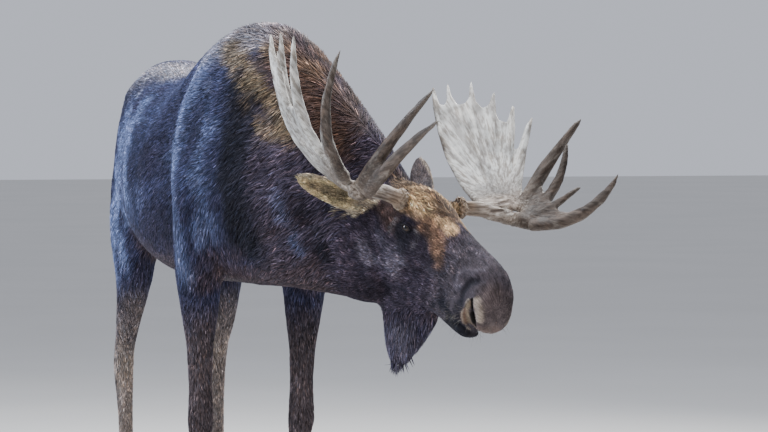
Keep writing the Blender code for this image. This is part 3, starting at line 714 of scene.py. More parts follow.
@dataclass(frozen=True)
class EyeFinish:
    """A wet, very dark brown eye."""

    roughness: float = 0.22
    wet: float = 0.45

    def material(self) -> Material:
        """Build the material."""
        maker = Maker("eye")
        fibres = maker.noise(maker.kept("fibre", "Vector"), 1.0, 3.0)
        colour = maker.scaled_colour(maker.kept("eye", "Color"), fibres.spread_over(0.6, 1.5))
        return maker.finish(colour, self.roughness, 0.2, Coat_Weight=self.wet, Coat_Roughness=0.03,
            Coat_IOR=1.38)


@dataclass(frozen=True)
class BristleFinish:
    """Stiff single hairs, such as whiskers and lashes."""

    name: str
    root: Colour
    tip: Colour

    def material(self) -> Material:
        """Build the material."""
        maker = Maker(self.name)
        fade = maker.noise(maker.place(), 60.0, 2.0)
        return maker.finish(maker.mixed(fade.mapped(0.35, 0.65, 0.0, 1.0), self.root, self.tip), 0.38)


@dataclass(frozen=True)
class FloorFinish:
    """A plain pale floor."""

    colour: Colour = (0.62, 0.61, 0.59)

    def material(self) -> Material:
        """Build the material."""
        maker = Maker("studio_floor")
        cloud = maker.noise(maker.place(), 0.6, 2.0)
        return maker.finish(maker.scaled_colour(self.colour, cloud.spread_over(0.98, 1.02)), 0.8)


# Skin ---------------------------------------------------------------------------------------
class Zone(IntEnum):
    """Kinds of coat."""

    TRUNK = 0
    NECK = 1
    MANE = 2
    UPPER_LEG = 3
    LOWER_LEG = 4
    FACE = 5
    FOREHEAD = 6
    MUZZLE = 7
    EAR = 8
    BELL = 9
    TAIL = 10


@dataclass(frozen=True)
class Hair:
    """The coat of one zone.

    Attributes:
        length: Length of a lock.
        width: Width of a lock where it is widest.
        depth: How far the skin lies under the coat's tips.
        lift: How high the tip ends, as a share of the depth.
        per_square: Locks on each square metre.
        stray: How far a lock strays from the lie, in radians.
        frost: How much paler the tip is than the rest.
    """

    length: float
    width: float
    depth: float
    lift: float
    per_square: float
    stray: float
    frost: float


COAT: dict[Zone, Hair] = {
    Zone.TRUNK: Hair(0.04, 0.0036, 0.007, 0.85, 30500, 0.2, 0.1),
    Zone.NECK: Hair(0.046, 0.0037, 0.01, 0.95, 30000, 0.3, 0.2),
    Zone.MANE: Hair(0.062, 0.004, 0.022, 1.05, 34000, 0.48, 0.26),
    Zone.UPPER_LEG: Hair(0.027, 0.0032, 0.0052, 0.85, 34000, 0.17, 0.12),
    Zone.LOWER_LEG: Hair(0.016, 0.0024, 0.003, 0.9, 52000, 0.15, 0.15),
    Zone.FACE: Hair(0.014, 0.0018, 0.0036, 0.95, 82000, 0.28, 0.16),
    Zone.FOREHEAD: Hair(0.032, 0.0025, 0.011, 1.15, 60000, 0.75, 0.34),
    Zone.MUZZLE: Hair(0.006, 0.0011, 0.0013, 0.8, 90000, 0.26, 0.06),
    Zone.EAR: Hair(0.014, 0.0018, 0.0026, 0.95, 76000, 0.26, 0.15),
    Zone.BELL: Hair(0.046, 0.0036, 0.013, 1.0, 40000, 0.24, 0.3),
    Zone.TAIL: Hair(0.05, 0.0036, 0.0085, 0.95, 30000, 0.18, 0.12),
}
ZONE_OF_PART: dict[str, Zone] = {
    "trunk": Zone.TRUNK, "neck": Zone.NECK, "head": Zone.FACE, "tail": Zone.TAIL, "bell": Zone.BELL,
    "ear_left": Zone.EAR, "ear_right": Zone.EAR,
    **{f"{end}_{side}_{length}_leg": zone for end in ("front", "hind") for side in ("left", "right")
       for length, zone in (("upper", Zone.UPPER_LEG), ("lower", Zone.LOWER_LEG))}}
FLESH: list[str] = list(ZONE_OF_PART)
ON_FACE: tuple[Zone, ...] = (Zone.FACE, Zone.FOREHEAD, Zone.MUZZLE)


@dataclass(frozen=True)
class Stroke:
    """A ridge, or a groove where its height is below 0, along a run of places. All in millimetres.

    Attributes:
        width: Distance from its middle at which it has fallen to about a third.
        height: How far it stands out half way along.
        places: Places that it passes through, on the animal's right.
    """

    width: float
    height: float
    places: tuple[Place, ...]

    def push(self, points: Array, mirror: Place) -> Array:
        """Say how far each place moves outwards.

        Args:
            points: Places in the stroke's own frame.
            mirror: What its places are multiplied by.

        Returns:
            One distance for each place.
        """
        steps = 4 if len(self.places) > 2 else 1
        gap, along = distance_to_run(points, curve_through(metres(self.places) * np.array(mirror), steps))
        fade = 0.55 + 0.45 * np.sin(np.pi * along)
        return self.height / 1000 * fade * np.exp(-(gap / (self.width / 1000)) ** 2)


# Width, height and places of each stroke; those of the head are forward, left and up of it
BODY_STROKES: tuple[Stroke, ...] = tuple(Stroke(*row) for row in (
    (42, 20, ((-169, -649, 1720), (-215, -593, 1587), (-238, -543, 1402), (-258, -616, 1269),
     (-237, -629, 1052))),  # shoulder blade's edge
    (45, -16, ((-210, -500, 1680), (-275, -420, 1450), (-300, -440, 1250), (-280, -490, 1090))),  # behind it
    (45, 8, ((-250, -300, 1600), (-300, -240, 1400), (-300, -300, 1200))),
    (35, -7, ((-260, -150, 1580), (-310, -100, 1400), (-305, -130, 1220))),
    (60, 12, ((-280, -470, 1220), (-265, -450, 1050))),  # upper arm
    (30, 10, ((-300, -440, 1020), (-270, -410, 975))),  # elbow
    (45, -10, ((-310, -100, 1080), (-300, 200, 1120), (-260, 360, 1180))),
    (50, 14, ((-200, 480, 1660), (-230, 560, 1620))),  # hip bone
    (60, -16, ((-290, 250, 1560), (-300, 330, 1400), (-290, 340, 1250))),
    (60, 12, ((-280, 560, 1450), (-270, 620, 1250), (-230, 600, 1050))),
    (30, -8, ((-215, 700, 1250), (-225, 660, 1050))),  # haunch's groove
    (14, -8, ((-235, 600, 860), (-225, 665, 720))),  # before the tendon
    (20, 5, ((-218, 520, 900), (-210, 600, 760))),  # shin
    (20, 4, ((-228, -555, 860), (-218, -560, 740))),  # forearm
    (10, -3, ((-205, -545, 420), (-200, -545, 250))),  # tendon's groove
    (10, -3, ((-212, 690, 520), (-206, 680, 300))),
    (20, 4, ((-215, -585, 560), (-205, -600, 500))),  # knee
    (40, 10, ((-120, 845, 1500), (-130, 830, 1300))),  # sitting bone
))
NECK_STROKES: tuple[Stroke, ...] = tuple(Stroke(*row) for row in (
    # Fold across the neck
    (22, 14, ((-21, -1096, 1290), (-10, -1108, 1235), (16, -1126, 1175), (48, -1140, 1120))),
    (18, -14, ((30, -1150, 1262), (52, -1168, 1212), (84, -1188, 1158), (118, -1198, 1085))),
    (34, 8, ((-130, -820, 1640), (-180, -760, 1480), (-200, -740, 1290))),
    (34, 8, ((-90, -960, 1440), (-120, -900, 1290), (-130, -850, 1140))),
    # Groove along the throat
    (30, -13, ((300, -1190, 1270), (71, -1160, 1218), (-60, -980, 1130), (-160, -800, 1060))),
    (50, 10, ((230, -1190, 1420), (60, -1060, 1400), (-90, -900, 1330), (-200, -700, 1260))),
    (30, 9, ((126, -1234, 1170), (50, -1150, 1080), (-40, -1000, 1010))),
    (40, -10, ((-50, -1000, 1560), (-150, -820, 1500), (-220, -660, 1420))),
))
HEAD_STROKES: tuple[Stroke, ...] = tuple(Stroke(*row) for row in (
    # Nostril
    (6, -20, ((528, -78, -39), (540, -78, -59), (546, -70, -81), (555, -60, -103), (559, -48, -117))),
    (10.5, -24, ((547, -68, -84), (556, -56, -106))),
    (6, 5, ((515, -75, -50), (502, -66, -78), (502, -63, -98), (511, -58, -116), (518, -40, -136),
     (520, -18, -147))),  # nostril's outer rim
    (14, 6, ((545, -78, -30), (566, -70, -50), (576, -62, -78), (578, -50, -104))),  # nostril's wing
    (12, 5, ((439, -62, -64), (431, -68, -34), (433, -68, -2), (452, -66, 20), (487, -60, 36),
     (512, -44, 50))),
    (13, 4, ((452, -67, -40), (462, -67, -28))),  # its bulging end
    # Behind the fold over the nose
    (11, -4.5, ((404, -64, -70), (400, -68, -40), (408, -69, -6), (432, -66, 24))),
    # In front of it
    (11, -6, ((474, -68, -70), (478, -68, -30), (486, -68, -2), (510, -64, 18), (540, -48, 28))),
    (6, -11, ((372, -56, -118), (428, -62, -130), (462, -56, -140), (492, -46, -148), (520, -24, -152),
     (530, 0, -152))),  # mouth
    (8, 4, ((402, -60, -105), (450, -62, -118), (490, -52, -130))),  # upper lip
    (9, 4.5, ((430, -50, -152), (480, -40, -164), (510, -16, -164))),  # lower lip
    (6.5, -6, ((216, -92, 21), (251, -87, 2), (275, -80, -18))),  # groove before the eye
    (13, 8, ((108, -108, 46), (150, -104, 57), (196, -96, 52))),  # brow
    (11, 3.5, ((122, -114, -8), (160, -110, -14), (204, -100, -4))),  # under the eye
    (10, -4.5, ((110, -112, -30), (158, -108, -40), (210, -96, -30))),
    # Cheek's edge
    (9, 4, ((138, -92, -130), (149, -95, -106), (177, -92, -84), (210, -86, -78), (226, -78, -98))),
    (11, -5, ((158, -86, -150), (178, -90, -118), (206, -82, -110))),
    (12, 5, ((240, -86, -30), (310, -74, -44), (380, -68, -58))),  # cheek bone
    (14, -6, ((240, -80, -70), (310, -66, -82), (370, -60, -92))),
    (22, 7, ((60, -100, -130), (80, -80, -190), (160, -50, -215))),  # jaw's angle
    (14, -5, ((300, -40, -150), (400, -38, -150))),
    (5, -2.5, ((590, 0, -20), (596, 0, -70), (588, 0, -120))),
    (28, 4, ((300, 0, 98), (400, 0, 92), (500, 0, 78))),
    (16, -4, ((280, -55, 70), (350, -52, 62), (430, -56, 52))),
))
# Middle, reach, height and cells of each patch of fine folds on the head, in metres
FINE_FOLDS: tuple[tuple[Place, float, float, int], ...] = (
    ((0.47, -0.07, 0.01), 0.06, 0.0016, 5), ((0.565, -0.05, -0.02), 0.045, 0.0012, 5),
    ((0.4, -0.064, -0.1), 0.05, 0.0014, 4), ((0.215, -0.092, 0.0), 0.04, 0.0014, 4))
# Middle and radius of what is split finer on the head, in metres
REFINED: tuple[tuple[Place, float], ...] = (
    ((0.165, 0.098, 0.022), 0.052), ((0.545, 0.066, -0.078), 0.062),
    ((0.455, 0.056, -0.11), 0.05), ((0.54, 0.02, -0.15), 0.036))


@dataclass
class Skin:
    """The one skin under the whole coat.

    Attributes:
        voxel: Cell of the surface before it is thinned.
        grow: How far the flesh nodes are grown so that they overlap.
        rest_faces: Triangles that the trunk, neck and legs keep.
        eye_plug: Share of the eye's radius that closes its socket.
    """

    voxel: float = 0.0048
    grow: float = 0.0006
    rest_faces: int = 76000
    eye_plug: float = 0.9
    item: Object = field(init=False)
    points: Array = field(init=False)
    faces: Array = field(init=False)
    edges: Array = field(init=False)
    normals: Array = field(init=False)
    part: Array = field(init=False)
    weights: Array = field(init=False)
    lie: Array = field(init=False)
    colours: Array = field(init=False)
    bare: Array = field(init=False)
    depth: Array = field(init=False)
    unfolded: Array = field(init=False)

    def __post_init__(self) -> None:
        """Make the skin and colour it."""
        self.item = linked("skin", copy_of_nodes(FLESH, self.grow))
        self._plug_sockets(self.item)
        remeshed(self.item, self.voxel)
        self._smooth_and_thin(self.item)
        largest_body(self.item)
        self._refine(self.item)
        self._read(self.item)
        self._name_parts()
        self._weigh_zones()
        self._lay_coat()
        self._sink()
        self._shape()
        place_points(self.item.data, self.points)
        self.colours, self.bare = paint_skin(self)

    def _plug_sockets(self, item: Object) -> None:
        """Close the eye sockets with a ball a little smaller than the eye."""
        with edited(item.data) as shape:
            for node in ("eye_left", "eye_right"):
                low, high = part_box(node)
                bmesh.ops.create_icosphere(shape, subdivisions=3, radius=(high.z - low.z) / 2 * self.eye_plug,
                    matrix=Matrix.Translation((low + high) / 2))

    def _smooth_and_thin(self, item: Object) -> None:
        """Take the flat facets off, then thin what carries long hair."""
        points = coordinates(item.data)
        stance = STANCE.to_stance(points)
        fine = 1.0 - eased(HEAD.to_head(points)[:, 0], -0.02, -0.14)
        legs = eased(stance[:, 2], 0.92, 0.78)
        tail = eased(stance[:, 1], 0.84, 0.88)
        add_group(item, "calm", (1.0 - fine) * (1.0 - legs) * (1.0 - tail))
        add_group(item, "some", legs)
        add_group(item, "coarse", 1.0 - fine)
        for name, rounds in (("", 4), ("calm", 34), ("some", 9)):
            add_smoothing(item, name, rounds)
        applied(item)
        fine_faces = 2 * len(item.data.vertices) * float(fine.mean())
        thin = item.modifiers.new("thin", "DECIMATE")
        thin.ratio = (fine_faces + self.rest_faces) / (2 * len(item.data.polygons))
        thin.vertex_group = "coarse"
        thin.vertex_group_factor = 10.0
        thin.use_collapse_triangulate = True
        applied(item)

    def _refine(self, item: Object) -> None:
        """Split the faces round the eyes, the nostrils and the mouth."""
        head = HEAD.to_head(coordinates(item.data))
        head[:, 1] = np.abs(head[:, 1])
        near = np.zeros(len(head), dtype=bool)
        for centre, radius in REFINED:
            near |= np.linalg.norm(head - np.array(centre), axis=1) < radius
        with edited(item.data) as shape:
            shape.verts.ensure_lookup_table()
            edges = [edge for edge in shape.edges if all(near[vert.index] for vert in edge.verts)]
            bmesh.ops.subdivide_edges(shape, edges=edges, cuts=1, use_grid_fill=True)
            bmesh.ops.triangulate(shape, faces=shape.faces[:])

    def _read(self, item: Object) -> None:
        """Keep the mesh as arrays."""
        item.vertex_groups.clear()
        self.points = coordinates(item.data)
        self.faces = corners_of(item.data)
        self.edges = edges_of(item.data)
        self.normals = normals_of(self.points, self.faces)

    def _name_parts(self) -> None:
        """Find the CAD node that each point belongs to, as its number in FLESH."""
        places, owner = [], []
        for number, name in enumerate(FLESH):
            found = coordinates(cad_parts[name].data)
            corners = found.reshape(-1, 3, 3) if len(found) % 3 == 0 else found[:, None, :]
            places += [found, corners.mean(axis=1)]
            owner += [number] * (len(found) + len(corners))
        self.part = np.array(owner)[nearest(np.vstack(places), self.points)]

    def _weigh_zones(self) -> None:
        """Weigh the kinds of coat at each point."""
        zones = np.array([ZONE_OF_PART[name] for name in FLESH])
        weights = spread(np.eye(len(Zone))[zones[self.part]], self.edges, 14)
        head, stance = HEAD.to_head(self.points), STANCE.to_stance(self.points)
        calm = unit(spread(self.normals, self.edges, 20))
        hanging = spread(weights[:, [Zone.BELL]], self.edges, 90)[:, 0]
        front = eased(head[:, 2], 0.075, 0.115) * eased(head[:, 0], 0.27, 0.19)
        ridge = eased(calm[:, 2], 0.55, 0.88) * eased(stance[:, 1], -0.1, -0.5)
        for source, target, share in ((Zone.BELL, Zone.NECK, eased(hanging, 0.95, 0.55)),
                (Zone.FACE, Zone.MUZZLE, eased(head[:, 0], 0.36, 0.5)), (Zone.FACE, Zone.FOREHEAD, front),
                (Zone.TRUNK, Zone.MANE, ridge), (Zone.NECK, Zone.MANE, ridge)):
            moved = weights[:, source] * share
            weights[:, source] -= moved
            weights[:, target] += moved
        self.weights = weights / weights.sum(axis=1, keepdims=True)

    def weight_of(self, *zones: Zone) -> Array:
        """Give how much each point belongs to some zones together."""
        return self.weights[:, list(zones)].sum(axis=1)

    def value_of(self, name: str) -> Array:
        """Blend one number of the zones' hair at each point."""
        return self.weights @ np.array([getattr(COAT[zone], name) for zone in Zone])

    def _lay_coat(self) -> None:
        """Find the direction in which the hair lies at each point."""
        head, stance = HEAD.to_head(self.points), STANCE.to_stance(self.points)
        back = np.array([0.0, 1.0, -0.3])
        for share, way in ((eased(stance[:, 2], 1.55, 1.05), (0.0, 0.75, -0.75)),
                (eased(stance[:, 1], 0.45, 0.85), (0.0, 0.35, -1.0)),
                (eased(self.normals[:, 2], -0.55, -0.9), (0.0, 1.0, 0.0))):
            back = back * (1 - share[:, None]) + np.array(way) * share[:, None]
        chest = (eased(stance[:, 1], -0.45, -0.75) * eased(stance[:, 2], 1.4, 1.15))[:, None]
        back = unit(unit(back) * (1 - chest) + np.array([-0.1, 0.35, -1.0]) * chest)
        face = unit(self.points - HEAD.to_world([0.7, 0.0, -0.075]))
        brow = unit(face + 0.5 * HEAD.axes()[:, 1] * np.sign(head[:, 1:2]))
        down = unit(np.array([0.0, 0.12, -1.0]))
        ear = np.where(head[:, 1:2] > 0, unit(middle_of("ear_left") - HEAD.to_world([0.0, 0.092, 0.018])),
            unit(middle_of("ear_right") - HEAD.to_world([-0.02, -0.085, 0.0])))
        ways = {Zone.TRUNK: back, Zone.NECK: unit(np.array([-0.42, 0.62, -0.5])),
            Zone.MANE: unit(np.array([-0.3, 0.7, 0.45])), Zone.UPPER_LEG: down, Zone.LOWER_LEG: down,
            Zone.FACE: face, Zone.FOREHEAD: brow, Zone.MUZZLE: face, Zone.EAR: ear, Zone.BELL: down,
            Zone.TAIL: down}
        flow = sum(self.weights[:, [zone]] * way for zone, way in ways.items())
        hanging = spread((self.part == FLESH.index("bell"))[:, None] * 1.0, self.edges, 14)
        flow = flow * (1.0 - hanging) + down * hanging
        sway = np.column_stack([lattice_noise(self.points, 0.085, SEED + axis) for axis in range(3)])
        flow = unit(spread(flow, self.edges, 8)) + 0.16 * sway
        flow -= self.normals * (flow * self.normals).sum(axis=1, keepdims=True)
        self.lie = unit(flow)

    def _sink(self) -> None:
        """Lower the skin by the coat's depth."""
        self.depth = spread(self.value_of("depth")[:, None], self.edges, 6)[:, 0]
        calm = unit(spread(self.normals, self.edges, 4))
        self.points = self.points - calm * self.depth[:, None]

    def _shape(self) -> None:
        """Press muscles, folds, nostrils and lips into the skin."""
        stance = STANCE.to_stance(self.points)
        push = np.zeros(len(self.points))
        for stroke in BODY_STROKES:
            push += stroke.push(stance, (1.0, 1.0, 1.0))
            push += stroke.push(stance, (-1.0, 1.0, 1.0))
        for stroke in NECK_STROKES:
            push += stroke.push(stance, (1.0, 1.0, 1.0))
        self.points = self.points + unit(spread(self.normals, self.edges, 6)) * push[:, None]
        self.unfolded = self.points
        head = HEAD.to_head(self.points)
        push = np.zeros(len(self.points))
        for side in (-1, 1):
            for stroke in HEAD_STROKES:
                push += stroke.push(head, (1.0, -side, 1.0)) * (0.5 if stroke.places[0][1] == 0 else 1.0)
            for centre, radius, height, cells in FINE_FOLDS:
                weight = blob(head, (centre[0], -side * centre[1], centre[2]), (radius, radius, radius))
                across = head * np.array([cells * 26.0, 40.0, cells * 10.0])
                push += height * weight * lattice_noise(across, 1.0, SEED + cells)
        self.normals = normals_of(self.points, self.faces)
        self.points = self.points + unit(spread(self.normals, self.edges, 3)) * push[:, None]
        self.normals = normals_of(self.points, self.faces)

    def dress(self, finish: HideFinish, eyes: list[Eye]) -> Object:
        """Give the skin its lids, its colours, its material and its place in the model.

        Args:
            finish: Its finish.
            eyes: Both eyes, whose lids are part of the skin.

        Returns:
            The finished object.
        """
        item = self.item
        parts = [(self.points, self.faces)]
        colours, bare, heads = [self.colours], [self.bare], [self.weight_of(*ON_FACE)]
        for eye in eyes:
            points, faces, wet = eye.lids()
            parts.append((points, faces))
            colour, share = self.colours[nearest(self.points, points)], wet[:, None]
            colours.append(colour * (1 - share) + np.array(Tint.BLACK.value) * share * 0.7)
            bare.append(np.maximum(wet, 0.3))
            heads.append(np.ones(len(points)))
        points, faces = joined(parts)
        mesh = item.data = triangle_mesh("skin", points, faces, True)
        add_colours(mesh, "coat", np.vstack(colours))
        add_numbers(mesh, "bare", np.concatenate(bare))
        local = HEAD.to_head(points)
        middle = np.interp(local[:, 0], (0.25, 0.58), (0.0, -0.065))
        across = np.column_stack([local[:, 1], local[:, 2] - middle])
        spoke = np.maximum(np.linalg.norm(across, axis=1, keepdims=True), 0.055)
        round_head = np.column_stack([across * 0.09 / spoke, local[:, 0]])
        add_numbers(mesh, "lie", np.where(np.concatenate(heads)[:, None] > 0.5, round_head, points))
        mesh.materials.append(finish.material())
        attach(item, BODY)
        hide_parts(*FLESH)
        return item


# Markings -----------------------------------------------------------------------------------
@dataclass
class Paint:
    """Colours of some points, laid one over another."""

    colours: Array

    @classmethod
    def of(cls, count: int, tint: Tint) -> Paint:
        """Start with one colour everywhere."""
        return cls(np.tile(np.array(tint.value), (count, 1)))

    def lay(self, tint: Tint, share: Array) -> None:
        """Put a colour over what is there, by its share at each point."""
        amount = np.clip(share, 0.0, 1.0)[:, None]
        self.colours = self.colours * (1 - amount) + np.array(tint.value) * amount


class Tint(Enum):
    """Colours of hair and bare skin, then of an eye, then of an antler."""

    BLACK = (0.008, 0.008, 0.012)
    SOOT = (0.015, 0.014, 0.028)
    BLUE = (0.026, 0.031, 0.066)
    # Painted sky sheen: a pale blue that stands for light from the sky on the black coat, not a colour of the
    # hair
    SKY = (0.112, 0.142, 0.262)
    BROWN = (0.041, 0.028, 0.03)
    UMBER = (0.05, 0.028, 0.018)
    TAN = (0.112, 0.084, 0.054)
    DUSTY = (0.082, 0.074, 0.076)
    RUMP = (0.15, 0.142, 0.155)
    LEG_GREY = (0.18, 0.148, 0.128)
    LEG_BROWN = (0.057, 0.045, 0.047)
    GOLD = (0.385, 0.255, 0.142)
    RUSSET = (0.122, 0.072, 0.048)
    SLATE = (0.038, 0.032, 0.039)
    ASH = (0.082, 0.073, 0.094)
    TAUPE = (0.078, 0.06, 0.06)
    ROSE = (0.086, 0.06, 0.053)
    CREAM = (0.265, 0.222, 0.182)
    OLIVE = (0.31, 0.25, 0.146)
    BRONZE = (0.112, 0.078, 0.052)
    # Painted shade: near black for the hollows of the nostrils
    INSIDE = (0.002, 0.0015, 0.0015)
    PUPIL = (0.002, 0.002, 0.003)
    IRIS = (0.026, 0.013, 0.007)
    IRIS_EDGE = (0.005, 0.004, 0.004)
    EYE_WHITE = (0.08, 0.058, 0.046)
    BURR = (0.21, 0.15, 0.105)
    BEAM = (0.3, 0.255, 0.218)
    BONE_BROWN = (0.046, 0.034, 0.028)
    TINE = (0.125, 0.103, 0.088)
    PALM = (0.385, 0.39, 0.386)
    # Pale wear on the antler's edges, ridges and tips, partly a painted highlight where edges face up
    WORN = (0.52, 0.495, 0.455)
    # Dark grime on the antler, also used as painted shade on its undersides
    GRIME = (0.078, 0.056, 0.044)


@dataclass(frozen=True)
class Patch:
    """A patch of one colour, alike on both sides. All in millimetres.

    Attributes:
        tint: Its colour.
        share: How strong it is in its middle.
        ragged: How much the hair breaks its edge up.
        reach: Distance from its middle at which it has fallen to about a third.
        places: The places that it passes through, on the animal's right.
    """

    tint: Tint
    share: float
    ragged: float
    reach: float
    places: tuple[Place, ...]

    def lay(self, paint: Paint, points: Array, places: Array, wisp: Array, where: Array) -> None:
        """Lay the patch.

        Args:
            paint: The colours so far.
            points: Where the colours are, with both sides folded onto the right.
            places: The patch's own places in metres, folded in the same way.
            wisp: Noise from -1 to 1.
            where: How far each point may take the patch.
        """
        gap, _ = distance_to_run(points, curve_through(places, 4) if len(places) > 2 else places)
        weight = np.exp(-(gap / (self.reach / 1000)) ** 2)
        edge = eased(weight + 0.5 * self.ragged * wisp, 0.1, 0.85) * eased(weight, 0.0, 0.12)
        paint.lay(self.tint, edge * self.share * where)


BODY_PATCHES: tuple[Patch, ...] = tuple(Patch(*row) for row in (
    # Painted sky sheen: pale blue highlights on the rump's side, the flank and the haunch
    (Tint.SKY, 0.8, 1.4, 125, ((-290, 300, 1480), (-290, 420, 1330), (-270, 520, 1150))),
    (Tint.SKY, 0.65, 0.9, 70, ((-193, 135, 1621), (-236, 105, 1568), (-267, 120, 1497), (-298, 65, 1286))),
    (Tint.SKY, 0.12, 1.0, 70, ((-298, -160, 1280), (-300, 100, 1180))),
    (Tint.SKY, 0.5, 1.0, 60, ((-240, 494, 1240), (-230, 560, 1000))),
    (Tint.SOOT, 0.85, 0.8, 85, ((-264, -372, 1433), (-287, -229, 1397))),
    (Tint.SOOT, 0.85, 0.8, 90, ((-251, -390, 1195), (-269, -225, 1155))),
    (Tint.SOOT, 0.8, 0.6, 38, ((-227, 234, 1586), (-180, 160, 1632), (-150, 40, 1650))),
    # Pale grey on the top of the rump, partly the hair's colour and partly painted top light
    (Tint.RUMP, 0.85, 1.0, 110, ((-60, 250, 1690), (-90, 420, 1670), (-120, 600, 1610))),
    # Painted highlight: pale blue sky sheen along the shoulder blade's edge and a streak on the shoulder
    (Tint.SKY, 0.56, 1.0, 68, ((-169, -649, 1720), (-195, -629, 1653), (-215, -593, 1587),
     (-231, -556, 1503), (-238, -543, 1402))),
    (Tint.SKY, 0.36, 1.0, 52, ((-238, -543, 1402), (-258, -616, 1269), (-255, -617, 1152),
     (-237, -629, 1052))),
    (Tint.SKY, 0.24, 1.2, 36, ((-173, -818, 1537), (-206, -735, 1438), (-195, -764, 1273),
     (-203, -722, 1139))),
    # Pale grey on the top of the hump, partly the hair's colour and partly painted top light
    (Tint.RUMP, 0.6, 1.2, 105, ((-110, -650, 1800), (-85, -760, 1800), (-30, -830, 1800))),
    (Tint.BLACK, 0.97, 0.6, 84, ((-101, -914, 1662), (-106, -933, 1607), (-114, -938, 1561),
     (-131, -928, 1473), (-132, -929, 1342), (-116, -931, 1211), (-84, -940, 1129))),
    (Tint.UMBER, 0.85, 0.8, 90, ((46, -970, 1700), (100, -1120, 1590), (150, -1190, 1500))),
    (Tint.TAN, 0.85, 1.5, 46, ((-108, -769, 1785), (-89, -865, 1751), (-65, -933, 1714), (-52, -978, 1668),
     (-38, -1014, 1623), (-28, -1044, 1577), (-18, -1071, 1529), (16, -1118, 1477))),
    (Tint.BRONZE, 0.3, 1.5, 40, ((50, -890, 1810), (99, -1019, 1734), (205, -1124, 1603),
     (241, -1179, 1523))),
    # Painted highlight on the ridge of the fold across the neck, and painted shade in the groove behind it
    (Tint.SKY, 0.24, 0.5, 20, ((-21, -1096, 1290), (-10, -1108, 1235), (16, -1126, 1175),
     (48, -1140, 1120))),
    (Tint.BLACK, 0.85, 0.5, 30, ((30, -1150, 1262), (58, -1176, 1217), (81, -1190, 1169),
     (118, -1200, 1082))),
))
HEAD_PATCHES: tuple[Patch, ...] = tuple(Patch(*row) for row in (
    (Tint.BRONZE, 0.9, 1.0, 80, ((20, -20, 140), (120, -30, 125), (190, -10, 118))),
    (Tint.UMBER, 0.85, 2.2, 20, ((60, -50, 130), (110, -62, 118), (150, -70, 108))),
    (Tint.UMBER, 0.85, 2.2, 22, ((40, 0, 145), (110, 0, 135), (180, 0, 118))),
    (Tint.UMBER, 0.6, 2.4, 16, ((150, -40, 118), (200, -30, 106), (250, -10, 98))),
    (Tint.GOLD, 0.56, 2.4, 20, ((70, -34, 130), (130, -28, 128), (190, -34, 112))),
    (Tint.GOLD, 0.86, 1.8, 27, ((155, -80, 90), (205, -72, 86), (250, -54, 86), (292, -40, 88))),
    (Tint.UMBER, 0.45, 1.4, 13, ((232, -56, 92), (262, -52, 84))),
    (Tint.UMBER, 0.45, 1.2, 14, ((196, -78, 78), (228, -74, 66))),
    (Tint.RUSSET, 0.92, 0.9, 34, ((225, -80, 66), (280, -73, 45), (312, -72, 18))),
    (Tint.RUSSET, 0.7, 1.0, 26, ((312, -72, 18), (330, -70, -22))),
    (Tint.UMBER, 0.6, 0.9, 50, ((50, -110, 40), (95, -110, 10))),
    (Tint.GOLD, 0.4, 1.0, 18, ((100, -100, 68), (140, -96, 72), (185, -88, 68))),
    (Tint.BLACK, 0.85, 0.6, 34, ((150, -106, 5), (180, -104, 0), (175, -104, -35))),
    (Tint.RUMP, 0.45, 1.2, 9, ((118, -112, 30), (108, -114, -10), (124, -112, -50))),
    (Tint.RUMP, 0.4, 1.2, 8, ((205, -96, 30), (222, -92, 8), (214, -94, -30))),
    (Tint.BLACK, 0.55, 0.8, 18, ((228, -84, 58), (244, -84, 34), (250, -84, 10))),
    (Tint.ASH, 0.55, 2.0, 36, ((20, -100, -120), (120, -95, -130), (220, -85, -100))),
    (Tint.ASH, 0.28, 1.4, 28, ((80, -110, -60), (200, -98, -80), (300, -78, -60))),
    # Painted top light: a pale band along the top of the nose's bridge
    (Tint.ASH, 0.22, 1.0, 22, ((340, 0, 94), (400, -20, 90), (480, -30, 68))),
    # Painted highlight: pale grey along the fold over the nose and on its bulging end
    (Tint.ASH, 0.22, 0.8, 12, ((436, -68, -52), (431, -68, -20), (438, -68, 4), (457, -64, 20),
     (487, -60, 34), (508, -47, 49))),
    (Tint.ASH, 0.55, 0.6, 12, ((444, -68, -44), (456, -67, -34))),
    # Painted shade: black in the groove in front of that fold
    (Tint.BLACK, 0.8, 0.5, 16, ((474, -68, -70), (478, -68, -30), (486, -68, -2), (510, -64, 14))),
    (Tint.TAUPE, 0.75, 0.4, 55, ((570, -30, -20), (590, -20, -70))),
    (Tint.ROSE, 0.85, 0.3, 32, ((565, -45, -122), (592, 0, -122))),
    (Tint.CREAM, 0.75, 0.8, 18, ((548, -72, -36), (562, -67, -56), (576, -58, -82))),
    (Tint.BLACK, 0.92, 0.3, 26, ((380, -56, -122), (428, -60, -130), (462, -55, -142), (500, -40, -156))),
    (Tint.BLACK, 0.9, 0.2, 40, ((440, -30, -175), (500, -20, -172))),
    # Painted shade: black where that groove runs down behind the nostril
    (Tint.BLACK, 0.7, 0.4, 20, ((470, -66, -85), (486, -62, -110))),
    (Tint.TAN, 0.75, 0.5, 15, ((528, -74, -55), (520, -66, -80), (526, -62, -102), (536, -46, -124))),
    (Tint.RUSSET, 0.65, 0.5, 11, ((508, -68, -88), (510, -62, -108), (520, -50, -126))),
    (Tint.CREAM, 0.42, 0.5, 5, ((517, -75, -45), (502, -68, -75), (502, -63, -98), (511, -58, -116),
     (518, -42, -134), (522, -20, -146))),
))
# Reach in metres and places in millimetres of the bare hollows of a nostril, painted near black as shade
NOSTRIL: tuple[tuple[float, tuple[Place, ...]], ...] = (
    (0.0062, ((528, 75, -40), (540, 75, -59), (546, 66, -81), (555, 55, -103), (559, 44, -117))),
    (0.014, ((545, 66, -92), (552, 56, -109))),
)


